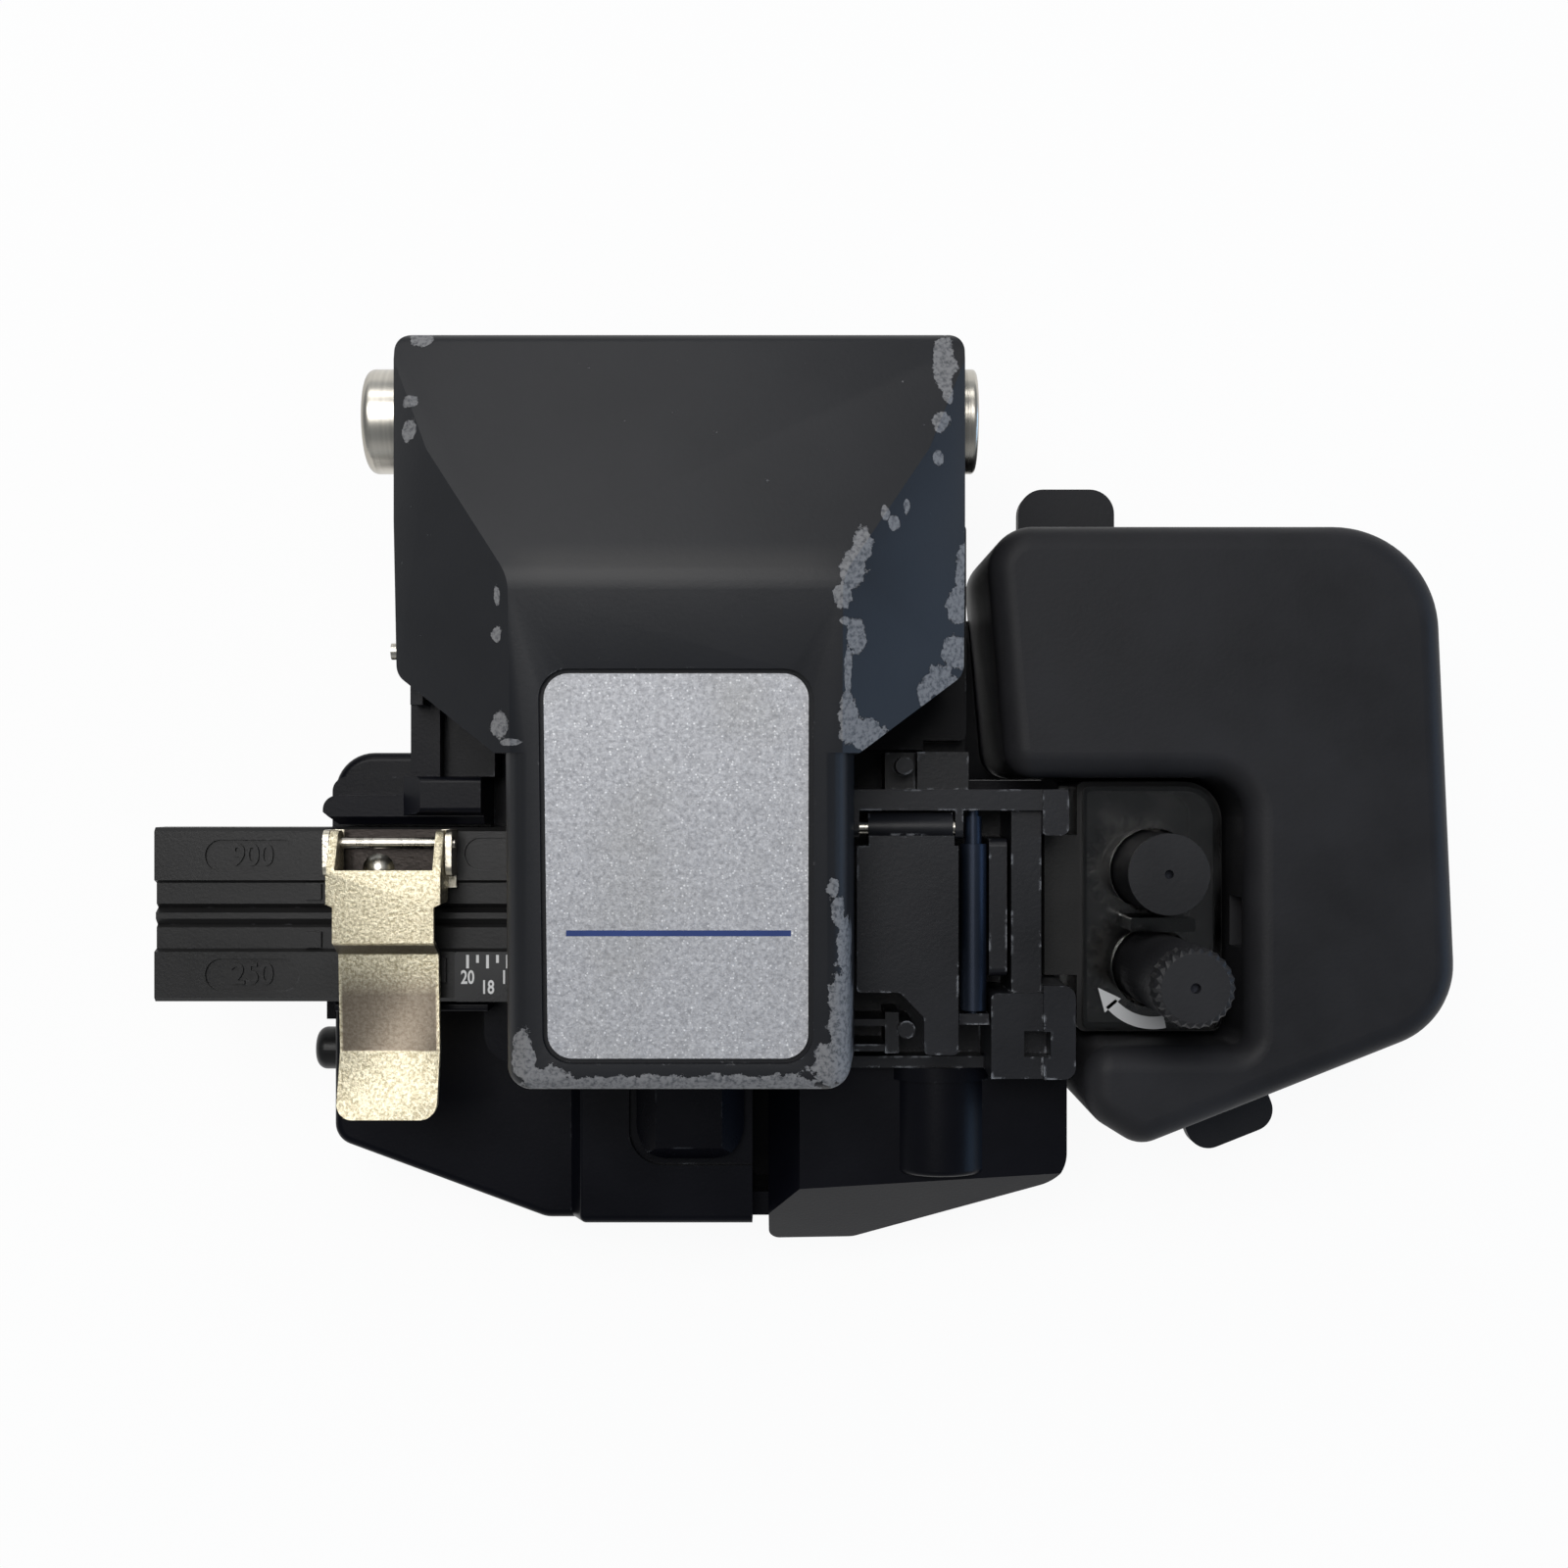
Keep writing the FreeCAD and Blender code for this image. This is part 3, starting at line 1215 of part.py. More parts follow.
def make_tail_arm():
    plate_top = arm_plate_bottom + arm_plate_thickness
    plate = flat_shape([(arm_plate_left, arm_pin_y - 1.8, 0), (arm_plate_left, arm_front_edge, 0.4),
                        (arm_tongue_left - 2.4, arm_front_edge, 0.6),
                        (arm_tongue_left, arm_front_edge - 2.5, 0.6),
                        (arm_tongue_left, arm_tongue_front, 0.5),
                        (arm_tongue_right, arm_tongue_front, 0.5), (arm_tongue_right, arm_pin_y - 1.8, 0),
                        (arm_right, arm_pin_y - 1.8, 0), (arm_right, arm_pin_y - arm_rear_clear, 0),
                        (arm_left, arm_pin_y - arm_rear_clear, 0),
                        (arm_left, arm_pin_y - 1.8, 0)],
                       arm_plate_bottom, plate_top)
    barrel = rod(V(arm_left, arm_pin_y, arm_pin_z), V(arm_right, arm_pin_y, arm_pin_z), arm_barrel_radius)
    web = block(arm_left, arm_right, arm_pin_y - 1.8, arm_pin_y - arm_rear_clear, arm_pin_z, plate_top)
    arm = join(plate, barrel, web)
    return arm.cut(rod(V(arm_left - 1, arm_pin_y, arm_pin_z), V(arm_right + 1, arm_pin_y, arm_pin_z),
                       arm_pin_radius + running_fit))


def make_tail_arm_pad():
    return block(tail_pad_left, tail_pad_left + tail_pad_width, fibre_y - pad_half_length,
                 fibre_y + pad_half_length, fibre_z + pad_gap, arm_plate_bottom)


def make_tail_pad():
    return block(tail_pad_left, tail_pad_left + tail_pad_width, fibre_y - pad_half_length,
                 fibre_y + pad_half_length, deck_z + frame_floor, fibre_z - pad_gap)


def make_guide_plate():
    return side_shape([(roller_front + 3.4, deck_z + frame_floor, 0), (roller_rear + 0.5, deck_z + frame_floor, 0),
                       (roller_rear + 0.5, side_wall_top - 0.4, 0.8),
                       (roller_front + 3.4, side_wall_top - 0.4, 0.8)],
                      guide_plate_left, guide_plate_left + guide_plate_width)


# ================================================================ collector
def collector_outline(inset):
    """The C-shaped outline of the collector seen from above, drawn in by inset."""
    sharpest = 0.2
    return [
        (collector_left + inset, collector_rear - inset, 4.5 - inset),
        (collector_inner_left + inset, notch_rear + inset, max(3.0 - inset, sharpest)),
        (notch_right + inset, notch_rear + inset, 4.0 + inset),
        (notch_right + inset, notch_front - inset, 1.5 + inset),
        (collector_arm_left + inset, notch_front - inset, max(2.8 - inset, sharpest)),
        (collector_arm_left + inset, collector_arm_front + inset * 0.6, max(4.0 - inset, sharpest)),
        (collector_arm_tip_x, collector_arm_tip_y + inset * 1.1, max(3.4 - inset, sharpest)),
        (collector_right - inset, collector_nose_y + inset * 0.7, 8.5 - inset),
        (collector_right_rear - inset, collector_rear - inset, 10.7 - inset),
    ]


def make_tray():
    outer = flat_shape(collector_outline(0), tray_bottom, tray_top)
    inner = flat_shape(collector_outline(tray_wall), tray_bottom + tray_wall, tray_top + 1)
    rear_tab = flat_shape([(rear_tab_left, collector_rear - 1, 0), (rear_tab_right, collector_rear - 1, 0),
                           (rear_tab_right, rear_tab_y, 2.7), (rear_tab_left, rear_tab_y, 2.7)],
                          tray_top - tab_thickness, tray_top)
    half = front_tab_width / 2
    front_tab = flat_shape([(-half, 2.2, 0), (half, 2.2, 0), (half, -front_tab_reach, 2.4),
                            (-half, -front_tab_reach, 2.4)], tray_top - tab_thickness, tray_top)
    angle = math.degrees(math.atan2(collector_nose_y - collector_arm_tip_y,
                                    collector_right - collector_arm_tip_x))
    front_tab.Placement = FreeCAD.Placement(V(front_tab_x, front_tab_y, 0), FreeCAD.Rotation(Z_AXIS, angle))
    tray = join(outer, rear_tab, front_tab)
    return tray.cut(inner)


def collector_ring(inset, width, z0, z1):
    """A rib of the given width that follows the collector's outline."""
    face = rounded_face(collector_outline(inset), lambda p: V(p.x, p.y, z0))
    return face.cut(face.makeOffset2D(-width)).extrude(V(0, 0, z1 - z0))


def make_collector_cover():
    outer = flat_shape(collector_outline(0), tray_top, cover_top)
    outer = round_edges(outer, cover_edge, lambda e: e.BoundBox.ZMin > cover_top - 0.01)
    inner = flat_shape(collector_outline(cover_wall), tray_top - 1, cover_top - cover_wall)
    lip_inset = tray_wall + lip_gap
    seat_top = tray_top + 1.2
    lip = collector_ring(lip_inset, lip_wall, tray_top - lip_height, seat_top)
    seat = collector_ring(cover_wall - 0.3, lip_inset + lip_wall - cover_wall + 0.3, tray_top, seat_top)
    cover = join(outer.cut(inner), seat, lip)
    inlet = block(notch_right - 1, notch_right + cover_wall + 2,
                  nip_y - inlet_half_width, nip_y + inlet_half_width, inlet_bottom, inlet_top)
    return cover.cut(inlet).removeSplitter()


def make_collector_bracket():
    flange = flat_shape([(chassis_right, bracket_front, 1.0), (bracket_flange_right, bracket_front, 2.0),
                         (bracket_flange_right, bracket_rear_y, 2.0), (bracket_rear_left, bracket_rear_y, 1.0),
                         (bracket_rear_left, right_wing_rear + 0.4, 0), (chassis_right, right_wing_rear + 0.4, 0)],
                        tray_bottom - bracket_flange, tray_bottom)
    upright = block(chassis_right, chassis_right + bracket_flange, bracket_upright_front,
                    bracket_upright_rear, tray_bottom - bracket_flange, bracket_top)
    bracket = join(flange, upright)
    for y in bracket_screw_places:
        bracket = bracket.cut(rod(V(chassis_right - 1, y, bracket_screw_z),
                                  V(chassis_right + 3, y, bracket_screw_z), bracket_hole_radius))
    return bracket


def make_bracket_screws():
    screws = []
    seat = chassis_right + bracket_flange
    for y in bracket_screw_places:
        head = rod(V(seat, y, bracket_screw_z), V(seat + 0.2, y, bracket_screw_z), 1.7)
        shank = rod(V(chassis_right - 2, y, bracket_screw_z), V(seat + 0.1, y, bracket_screw_z),
                    bracket_hole_radius - screw_fit)
        screws.append(head.fuse(shank))
    return Part.makeCompound(screws)


def make_roller_housing():
    outline = [(housing_left, housing_rear, 0.8), (housing_left, housing_front, 0.8),
               (housing_right, housing_front, 1.2), (housing_right, housing_rear, 4.0)]
    body = flat_shape(outline, tray_bottom, housing_top)
    hollow = flat_shape([(housing_left + housing_wall, housing_rear - housing_wall, 0.5),
                         (housing_left + housing_wall, housing_front + housing_wall, 0.5),
                         (housing_right - housing_wall, housing_front + housing_wall, 0.5),
                         (housing_right - housing_wall, housing_rear - housing_wall, 3.0)],
                        gear_bottom - 0.6, housing_top + 1)
    body = body.cut(hollow)
    wing = block(wing_left_edge, housing_left + 0.5, wing_front_edge, bar_front - 2.7,
                 deck_z + frame_floor, housing_top)
    body = join(body, wing)
    for y in (drive_y, idler_y):
        body = body.cut(rod(V(drive_x, y, tray_bottom + 1.2), V(drive_x, y, gear_bottom), shaft_radius + running_fit))
    return body


def make_window():
    outline = [(housing_left + 0.5, housing_rear - 0.5, 0.8), (housing_left + 0.5, housing_front + 0.3, 0.8),
               (housing_right - 0.3, housing_front + 0.3, 1.0), (housing_right - 0.3, housing_rear - 0.5, 4.0)]
    plate = flat_shape(outline, housing_top, window_top)
    for y, radius in ((drive_y, knob_radius + knob_tooth_depth), (idler_y, idler_radius)):
        plate = plate.cut(rod(V(drive_x, y, housing_top - 1), V(drive_x, y, window_top + 1),
                              radius + roller_gap))
    return plate


def make_guide_strip():
    front = drive_y + knob_radius + knob_tooth_depth + roller_gap
    rear = idler_y - idler_radius - roller_gap
    return flat_shape([(strip_left, front, 0.2), (strip_right, front, 0.2), (strip_right, rear, 0.2),
                       (strip_left, rear, 0.2)], window_top, strip_top)


def make_idler_roller():
    bottom = gear_bottom + gear_width + 0.6
    top = idler_top - idler_cap_height
    roller = rod(V(drive_x, idler_y, bottom), V(drive_x, idler_y, top), idler_radius)
    return roller.cut(rod(V(drive_x, idler_y, 0), V(drive_x, idler_y, 60), shaft_radius))


def make_shaft(y, top):
    return rod(V(drive_x, y, tray_bottom + 1.3), V(drive_x, y, top), shaft_radius)


def make_gear(y, turn):
    pitch_radius = (idler_y - drive_y) / 2
    module = 2 * pitch_radius / gear_teeth
    gear = toothed_wheel(V(0, 0, 0), pitch_radius + module * 0.9, pitch_radius - module * 1.15,
                         gear_teeth, gear_bottom, gear_bottom + gear_width, 0.22, 0.62)
    gear = gear.cut(rod(V(0, 0, 0), V(0, 0, 40), shaft_radius))
    gear.rotate(V(0, 0, 0), Z_AXIS, turn)
    gear.translate(V(drive_x, y, 0))
    return gear


def make_drum():
    centre = V(drive_x, drive_y, 0)
    bottom = gear_bottom + gear_width + 0.6
    drum = toothed_wheel(centre, knob_radius + knob_tooth_depth, knob_radius, knob_teeth,
                         bottom, knob_top, 0.3, 0.7)
    crown = Part.makeCone(knob_radius + 3.5, knob_radius - 0.4, 3.9, V(drive_x, drive_y, knob_top - 3.9))
    below = rod(V(drive_x, drive_y, bottom), V(drive_x, drive_y, knob_top - 3.9), knob_radius + 3.5)
    drum = drum.common(crown.fuse(below))
    drum = drum.cut(rod(V(drive_x, drive_y, bottom - 1), V(drive_x, drive_y, knob_top - 1.4), shaft_radius))
    return drum.cut(rod(V(drive_x, drive_y, knob_top - 1.5), V(drive_x, drive_y, knob_top + 1), 0.45))


def make_idler_cap():
    cap = rod(V(drive_x, idler_y, idler_top - idler_cap_height), V(drive_x, idler_y, idler_top), idler_radius)
    return cap.cut(rod(V(drive_x, idler_y, idler_top - 1), V(drive_x, idler_y, idler_top + 1), 0.45))


lid_left_x = lid_centre - lid_half_width
lid_right_x = lid_centre + lid_half_width

parts = {
    "chassis": make_chassis(),
    "bottom_cover": make_bottom_cover(),
    "bottom_cover_screws": make_bottom_screws(),
    "rubber_feet": make_feet(),
    "right_front_body": make_right_body(),
    "hinge_pin": make_hinge_pin(),
    "hinge_cap_left": make_hinge_cap(lid_left_x - cap_gap, left_cap_width, -1, left_cap_width - 1.2),
    "hinge_cap_right": make_hinge_cap(lid_right_x + cap_gap, right_cap_width, 1, right_cap_width - 0.6),
    "lid_spring": make_lid_spring(),
    "lid_shell": make_lid_shell(),
    "label_plate": make_label_plate(),
    "clamp_cross_pin": make_cross_pin(),
    "upper_clamp_carrier": make_clamp_carrier(),
    "upper_clamp_pads": Part.makeCompound(pad_pair(fibre_z + pad_gap, carrier_bottom, 0.5)),
    "lower_pad_seats": Part.makeCompound(pad_pair(platform_top, fibre_z - pad_gap - pad_thickness, 0.3)),
    "lower_clamp_pads": Part.makeCompound(pad_pair(fibre_z - pad_gap - pad_thickness,
                                                   fibre_z - pad_gap, 0.5)),
    "anvil": make_anvil(),
    "anvil_holder": make_anvil_holder(),
    "anvil_spring": make_anvil_spring(),
    "blade_slider": make_slider(),
    "blade_wheel": make_blade_wheel(),
    "blade_axle": make_blade_axle(),
    "guide_rods": make_guide_rods(),
    "return_spring": make_return_spring(),
    "latch_pawl": make_latch_pawl(),
    "latch_pivot_pin": make_pawl_pin(),
    "release_pin": make_release_pin(),
    "adapter_plate": make_adapter_plate(),
    "scale_plate": make_scale_plate(),
    "rear_rail": make_rear_rail(),
    "front_rail": make_front_rail(),
    "side_button": make_side_button(),
    "clamp_flap": make_clamp_flap(),
    "flap_bracket": make_flap_bracket(),
    "flap_hinge_pin": make_flap_pin(),
    "flap_bracket_screw": make_bracket_screw(),
    "flap_pad": make_flap_pad(),
    "feed_frame": make_feed_frame(),
    "guide_roller": make_guide_roller(),
    "tail_arm_pin": make_arm_pin(),
    "tail_clamp_arm": make_tail_arm(),
    "tail_arm_pad": make_tail_arm_pad(),
    "tail_pad": make_tail_pad(),
    "fibre_guide_plate": make_guide_plate(),
    "collector_tray": make_tray(),
    "collector_cover": make_collector_cover(),
    "collector_bracket": make_collector_bracket(),
    "bracket_screws": make_bracket_screws(),
    "roller_housing": make_roller_housing(),
    "roller_window": make_window(),
    "guide_strip": make_guide_strip(),
    "idler_roller": make_idler_roller(),
    "idler_cap": make_idler_cap(),
    "idler_shaft": make_shaft(idler_y, idler_top - idler_shaft_drop),
    "idler_gear": make_gear(idler_y, 90 + 180 / gear_teeth),
    "knurled_drum": make_drum(),
    "drive_shaft": make_shaft(drive_y, knob_top - 1.4),
    "drive_gear": make_gear(drive_y, 90),
}

for node, shape in parts.items():
    shape.exportStep("parts/" + node + ".step")
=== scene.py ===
import math

import bmesh
import bpy
from mathutils import Matrix, Vector


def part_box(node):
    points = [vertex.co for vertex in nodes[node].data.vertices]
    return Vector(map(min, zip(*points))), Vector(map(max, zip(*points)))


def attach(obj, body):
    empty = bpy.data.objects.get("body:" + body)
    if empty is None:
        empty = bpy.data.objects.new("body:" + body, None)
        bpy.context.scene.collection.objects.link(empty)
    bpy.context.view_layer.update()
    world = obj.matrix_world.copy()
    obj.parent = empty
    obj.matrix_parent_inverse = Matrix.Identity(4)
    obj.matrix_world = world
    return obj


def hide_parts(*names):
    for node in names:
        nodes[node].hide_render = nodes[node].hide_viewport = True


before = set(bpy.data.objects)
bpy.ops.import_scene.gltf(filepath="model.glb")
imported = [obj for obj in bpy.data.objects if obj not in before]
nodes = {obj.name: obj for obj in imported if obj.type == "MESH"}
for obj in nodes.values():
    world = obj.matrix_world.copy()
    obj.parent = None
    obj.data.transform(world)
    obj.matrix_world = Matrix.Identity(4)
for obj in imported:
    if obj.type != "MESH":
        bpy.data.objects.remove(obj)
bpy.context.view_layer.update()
scene = bpy.context.scene


# ---------------------------------------------------------------- table, lamps and camera
# A plain white table top in a pale room. A large neutral lamp hangs overhead with a strip lamp
# behind it, a cool window lies low on the right, and a weak lamp in front. The camera looks down.
def add_node(tree, kind, inputs=None, **settings):
    """One shader node; each input is a plain value or another node's socket."""
    node = tree.nodes.new("ShaderNode" + kind)
    for key, value in settings.items():
        setattr(node, key, value)
    for key, value in (inputs or {}).items():
        if isinstance(value, bpy.types.NodeSocket):
            tree.links.new(value, node.inputs[key])
        else:
            node.inputs[key].default_value = value
    return node


def calculate(tree, operation, first, second=0.0, clamp=False):
    """The output of one Math node."""
    node = add_node(tree, "Math", {0: first, 1: second}, operation=operation, use_clamp=clamp)
    return node.outputs[0]


table_glow = 0.93                 # share of plain white that the table shows; the rest keeps shadows
table_material = bpy.data.materials.new("table_top")
table_material.use_nodes = True
tree = table_material.node_tree
tree.nodes.clear()
rays = add_node(tree, "LightPath").outputs
seen = calculate(tree, "MAXIMUM", rays["Is Camera Ray"],
                 calculate(tree, "MAXIMUM", rays["Is Glossy Ray"], rays["Is Transmission Ray"]))
matt = add_node(tree, "BsdfDiffuse", {"Color": (0.86, 0.86, 0.86, 1)})
white = add_node(tree, "Emission", {"Color": (1, 1, 1, 1), "Strength": 1.0})
shown = add_node(tree, "MixShader", {0: calculate(tree, "MULTIPLY", seen, table_glow),
                                     1: matt.outputs[0], 2: white.outputs[0]})
add_node(tree, "OutputMaterial", {"Surface": shown.outputs[0]})
bpy.ops.mesh.primitive_plane_add(size=8.0, location=(0, 0, 0))
table_top = bpy.context.object
table_top.name = "table_top"
table_top.data.materials.append(table_material)

room_low, room_extra, room_fall = 0.25, 0.35, 3.0
world = bpy.data.worlds.new("pale_room")
scene.world = world
world.use_nodes = True
tree = world.node_tree
direction = add_node(tree, "TexCoord").outputs["Generated"]
height = add_node(tree, "SeparateXYZ", {0: direction}).outputs["Z"]
level = calculate(tree, "POWER", calculate(tree, "SUBTRACT", 1.0, height, clamp=True), room_fall)
strength = calculate(tree, "ADD", calculate(tree, "MULTIPLY", level, room_extra), room_low)
tree.links.new(strength, tree.nodes["Background"].inputs["Strength"])
tree.nodes["Background"].inputs["Color"].default_value = (0.90, 0.95, 1.0, 1)


lamp_target = Vector((0, 0, 0.03))


def soft_lamp(name, place, size, watts, colour):
    """A soft rectangular lamp that faces the object."""
    data = bpy.data.lights.new(name, "AREA")
    data.shape = "RECTANGLE"
    data.size, data.size_y = size
    data.energy = watts
    data.color = colour
    lamp = bpy.data.objects.new(name, data)
    lamp.location = place
    lamp.rotation_euler = (lamp_target - Vector(place)).to_track_quat("-Z", "Y").to_euler()
    scene.collection.objects.link(lamp)


soft_lamp("overhead_lamp", (-0.14, 0.24, 0.78), (0.42, 0.42), 3.7, (1.0, 0.99, 0.98))
soft_lamp("rear_strip", (-0.12, 0.70, 0.50), (0.5, 0.2), 1.3, (1.0, 0.99, 0.98))
soft_lamp("right_window", (0.62, -0.05, 0.20), (0.5, 0.25), 1.0, (0.34, 0.60, 1.0))
soft_lamp("front_fill", (-0.10, -0.60, 0.32), (0.5, 0.3), 0.10, (1.0, 0.96, 0.92))

sensor_mm, lens_mm = 36, 46.125
camera_data = bpy.data.cameras.new("camera_above")
camera_data.sensor_width = sensor_mm
camera_data.lens = lens_mm
camera_data.clip_start = 0.01
camera = bpy.data.objects.new("camera_above", camera_data)
camera.location = (-0.00215, 0.00355, 0.230)
scene.collection.objects.link(camera)
scene.camera = camera
scene.view_settings.view_transform = "Standard"


# ---------------------------------------------------------------- base casting
# The base is a painted casting with a fine texture. It is screwed to its bottom cover, and
# paint is rubbed off its corners. The body block on the right of the slider's slot matches it.
def group_of(name, inputs, outputs):
    """An empty shader node group with named sockets, and its input and output nodes."""
    group = bpy.data.node_groups.new(name, "ShaderNodeTree")
    for socket, kind, value in inputs:
        item = group.interface.new_socket(socket, in_out="INPUT", socket_type="NodeSocket" + kind)
        if value is not None:
            item.default_value = value
    for socket in outputs:
        group.interface.new_socket(socket, in_out="OUTPUT", socket_type="NodeSocketFloat")
    return group, group.nodes.new("NodeGroupInput").outputs, group.nodes.new("NodeGroupOutput").inputs


# Fine grain and slow, cloudy change over a surface.
grain_group, given, made = group_of(
    "surface_grain", [("Place", "Vector", None), ("Size", "Float", 2500.0)], ["Grain", "Cloud"])
fine = add_node(grain_group, "TexNoise", {"Vector": given["Place"], "Scale": given["Size"], "Detail": 3.0,
                                          "Roughness": 0.6})
cloud = add_node(grain_group, "TexNoise", {"Vector": given["Place"], "Scale": 90.0, "Detail": 4.0,
                                           "Roughness": 0.55})
grain_group.links.new(fine.outputs[0], made["Grain"])
grain_group.links.new(cloud.outputs[0], made["Cloud"])

# Where hands and tables rub a piece: its outer edges, broken up by noise.
rub_group, given, made = group_of(
    "rubbed_edges", [("Place", "Vector", None), ("Width", "Float", 0.0006), ("Amount", "Float", 1.0)],
    ["Rubbed"])
rounded = add_node(rub_group, "Bevel", {"Radius": given["Width"]}, samples=6)
flat = add_node(rub_group, "NewGeometry")
turn = add_node(rub_group, "VectorMath", {0: rounded.outputs[0], 1: flat.outputs["Normal"]},
                operation="DOT_PRODUCT")
edge = calculate(rub_group, "MULTIPLY", calculate(rub_group, "SUBTRACT", 1.0, turn.outputs["Value"]), 6.0,
                 clamp=True)
ragged = add_node(rub_group, "TexNoise", {"Vector": given["Place"], "Scale": 420.0, "Detail": 6.0,
                                          "Roughness": 0.7})
rub_sum = calculate(rub_group, "ADD", calculate(rub_group, "MULTIPLY", edge, 0.5), ragged.outputs[0])
rub_sum = calculate(rub_group, "ADD", rub_sum, calculate(rub_group, "MULTIPLY", given["Amount"], 0.1))
sharp = add_node(rub_group, "MapRange", {"Value": rub_sum, "From Min": 1.02, "From Max": 1.08})
grain_edge = calculate(rub_group, "MULTIPLY", sharp.outputs[0],
                       calculate(rub_group, "GREATER_THAN", edge, 0.08))
rub_group.links.new(grain_edge, made["Rubbed"])


def blend_colour(tree, mask, first, second):
    """The first colour where the mask is 0, the second where it is 1."""
    node = add_node(tree, "Mix", data_type="RGBA")
    for socket, value in ((node.inputs[0], mask), (node.inputs[6], first), (node.inputs[7], second)):
        if isinstance(value, bpy.types.NodeSocket):
            tree.links.new(value, socket)
        else:
            socket.default_value = value if isinstance(value, float) else (*value, 1.0)
    return node.outputs[2]


def fresh_material(name):
    """A new material, its node tree, its shader and its place on the piece."""
    material = bpy.data.materials.new(name)
    material.use_nodes = True
    tree = material.node_tree
    return material, tree, tree.nodes["Principled BSDF"], add_node(tree, "TexCoord").outputs["Object"]


def grain_on(tree, place, size=2500.0):
    """The surface_grain group, placed in a material."""
    texture = add_node(tree, "Group", node_tree=grain_group)
    tree.links.new(place, texture.inputs["Place"])
    texture.inputs["Size"].default_value = size
    return texture


def rubbed_on(tree, place, width, amount):
    """The rubbed_edges mask, placed in a material."""
    wear = add_node(tree, "Group", node_tree=rub_group)
    tree.links.new(place, wear.inputs["Place"])
    wear.inputs["Width"].default_value = width
    wear.inputs["Amount"].default_value = amount
    return wear.outputs["Rubbed"]


def finish_of(name, colour, roughness, metallic=0.0, specular=0.5, grain=(2500.0, 0.00002),
              mottle=0.2, rubbed=None):
    """A finish with grain, slow colour change and, where rubbed is (width, colour, amount), bare edges."""
    material, tree, shader, place = fresh_material(name)
    shader.inputs["Metallic"].default_value = metallic
    shader.inputs["Specular IOR Level"].default_value = specular
    size, depth = grain
    texture = grain_on(tree, place, size)
    dark = [part * (1 - mottle) for part in colour]
    light = [part * (1 + mottle) for part in colour]
    spread = add_node(tree, "MapRange", {"Value": texture.outputs["Cloud"], "From Min": 0.3,
                                         "From Max": 0.7})
    paint = blend_colour(tree, spread.outputs[0], dark, light)
    rough = add_node(tree, "MapRange", {"Value": texture.outputs["Cloud"], "From Min": 0.3,
                                        "From Max": 0.7, "To Min": roughness * 0.88,
                                        "To Max": min(roughness * 1.12, 1.0)}).outputs[0]
    if rubbed:
        width, bare, amount = rubbed
        paint = blend_colour(tree, rubbed_on(tree, place, width, amount), paint, bare)
    tree.links.new(paint, shader.inputs["Base Color"])
    tree.links.new(rough, shader.inputs["Roughness"])
    bump = add_node(tree, "Bump", {"Height": texture.outputs["Grain"], "Distance": depth,
                                   "Strength": 1.0})
    tree.links.new(bump.outputs[0], shader.inputs["Normal"])
    return material


def dress(material, *names):
    """Gives solids their finish."""
    for name in names:
        mesh = nodes[name].data
        mesh.materials.clear()
        mesh.materials.append(material)


def soften(name, piece_name, body, material, width, angle=28, segments=2):
    """A copy of a solid with its sharp edges rounded, which then stands for it."""
    mesh = nodes[name].data.copy()
    work = bmesh.new()
    work.from_mesh(mesh)
    bmesh.ops.remove_doubles(work, verts=work.verts, dist=0.000002)
    bmesh.ops.dissolve_limit(work, angle_limit=math.radians(0.6), verts=work.verts, edges=work.edges)
    for face in work.faces:
        face.smooth = True
    work.to_mesh(mesh)
    work.free()
    mesh.materials.clear()
    mesh.materials.append(material)
    piece = bpy.data.objects.new(piece_name, mesh)
    scene.collection.objects.link(piece)
    rounding = piece.modifiers.new("edge_round", "BEVEL")
    rounding.width = width
    rounding.segments = segments
    rounding.limit_method = "ANGLE"
    rounding.angle_limit = math.radians(angle)
    rounding.harden_normals = True
    rounding.use_clamp_overlap = True
    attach(piece, body)
    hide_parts(name)
    return piece


base_paint = finish_of("base_paint", (0.0030, 0.0032, 0.0056), 0.34, specular=0.12,
                       grain=(3200.0, 0.000012), rubbed=(0.0005, (0.07, 0.075, 0.085), -0.6))
dress(base_paint, "right_front_body", "rear_rail", "front_rail")
chassis_paint = finish_of("chassis_paint", (0.0024, 0.0026, 0.0048), 0.32, specular=0.11,
                          grain=(3200.0, 0.000012), rubbed=(0.0005, (0.07, 0.075, 0.085), -0.6))
dress(chassis_paint, "chassis", "bottom_cover")

foot_rubber = finish_of("foot_rubber", (0.014, 0.014, 0.014), 0.85, specular=0.25,
                        grain=(1800.0, 0.00004))
dress(foot_rubber, "rubber_feet")

screw_steel = finish_of("screw_steel", (0.34, 0.34, 0.35), 0.38, metallic=1.0, grain=(5000.0, 0.000008))
dress(screw_steel, "bottom_cover_screws", "bracket_screws")


# ---------------------------------------------------------------- hinge
# A ground steel pin runs through the rear bosses and the lid's sides, with turned steel caps
# pressed on its ends. A wound wire spring on the pin lifts the lid.
turned_steel, tree, shader, place = fresh_material("turned_steel")
rings = add_node(tree, "Mapping", {"Vector": place, "Scale": (1.0, 0.02, 0.02)})
lathe = add_node(tree, "TexNoise", {"Vector": rings.outputs[0], "Scale": 5200.0, "Detail": 2.0})
bands = add_node(tree, "TexNoise", {"Vector": rings.outputs[0], "Scale": 900.0, "Detail": 2.0})
band = add_node(tree, "MapRange", {"Value": bands.outputs[0], "From Min": 0.35, "From Max": 0.65})
tree.links.new(blend_colour(tree, band.outputs[0], (0.36, 0.34, 0.30), (0.60, 0.57, 0.51)),
               shader.inputs["Base Color"])
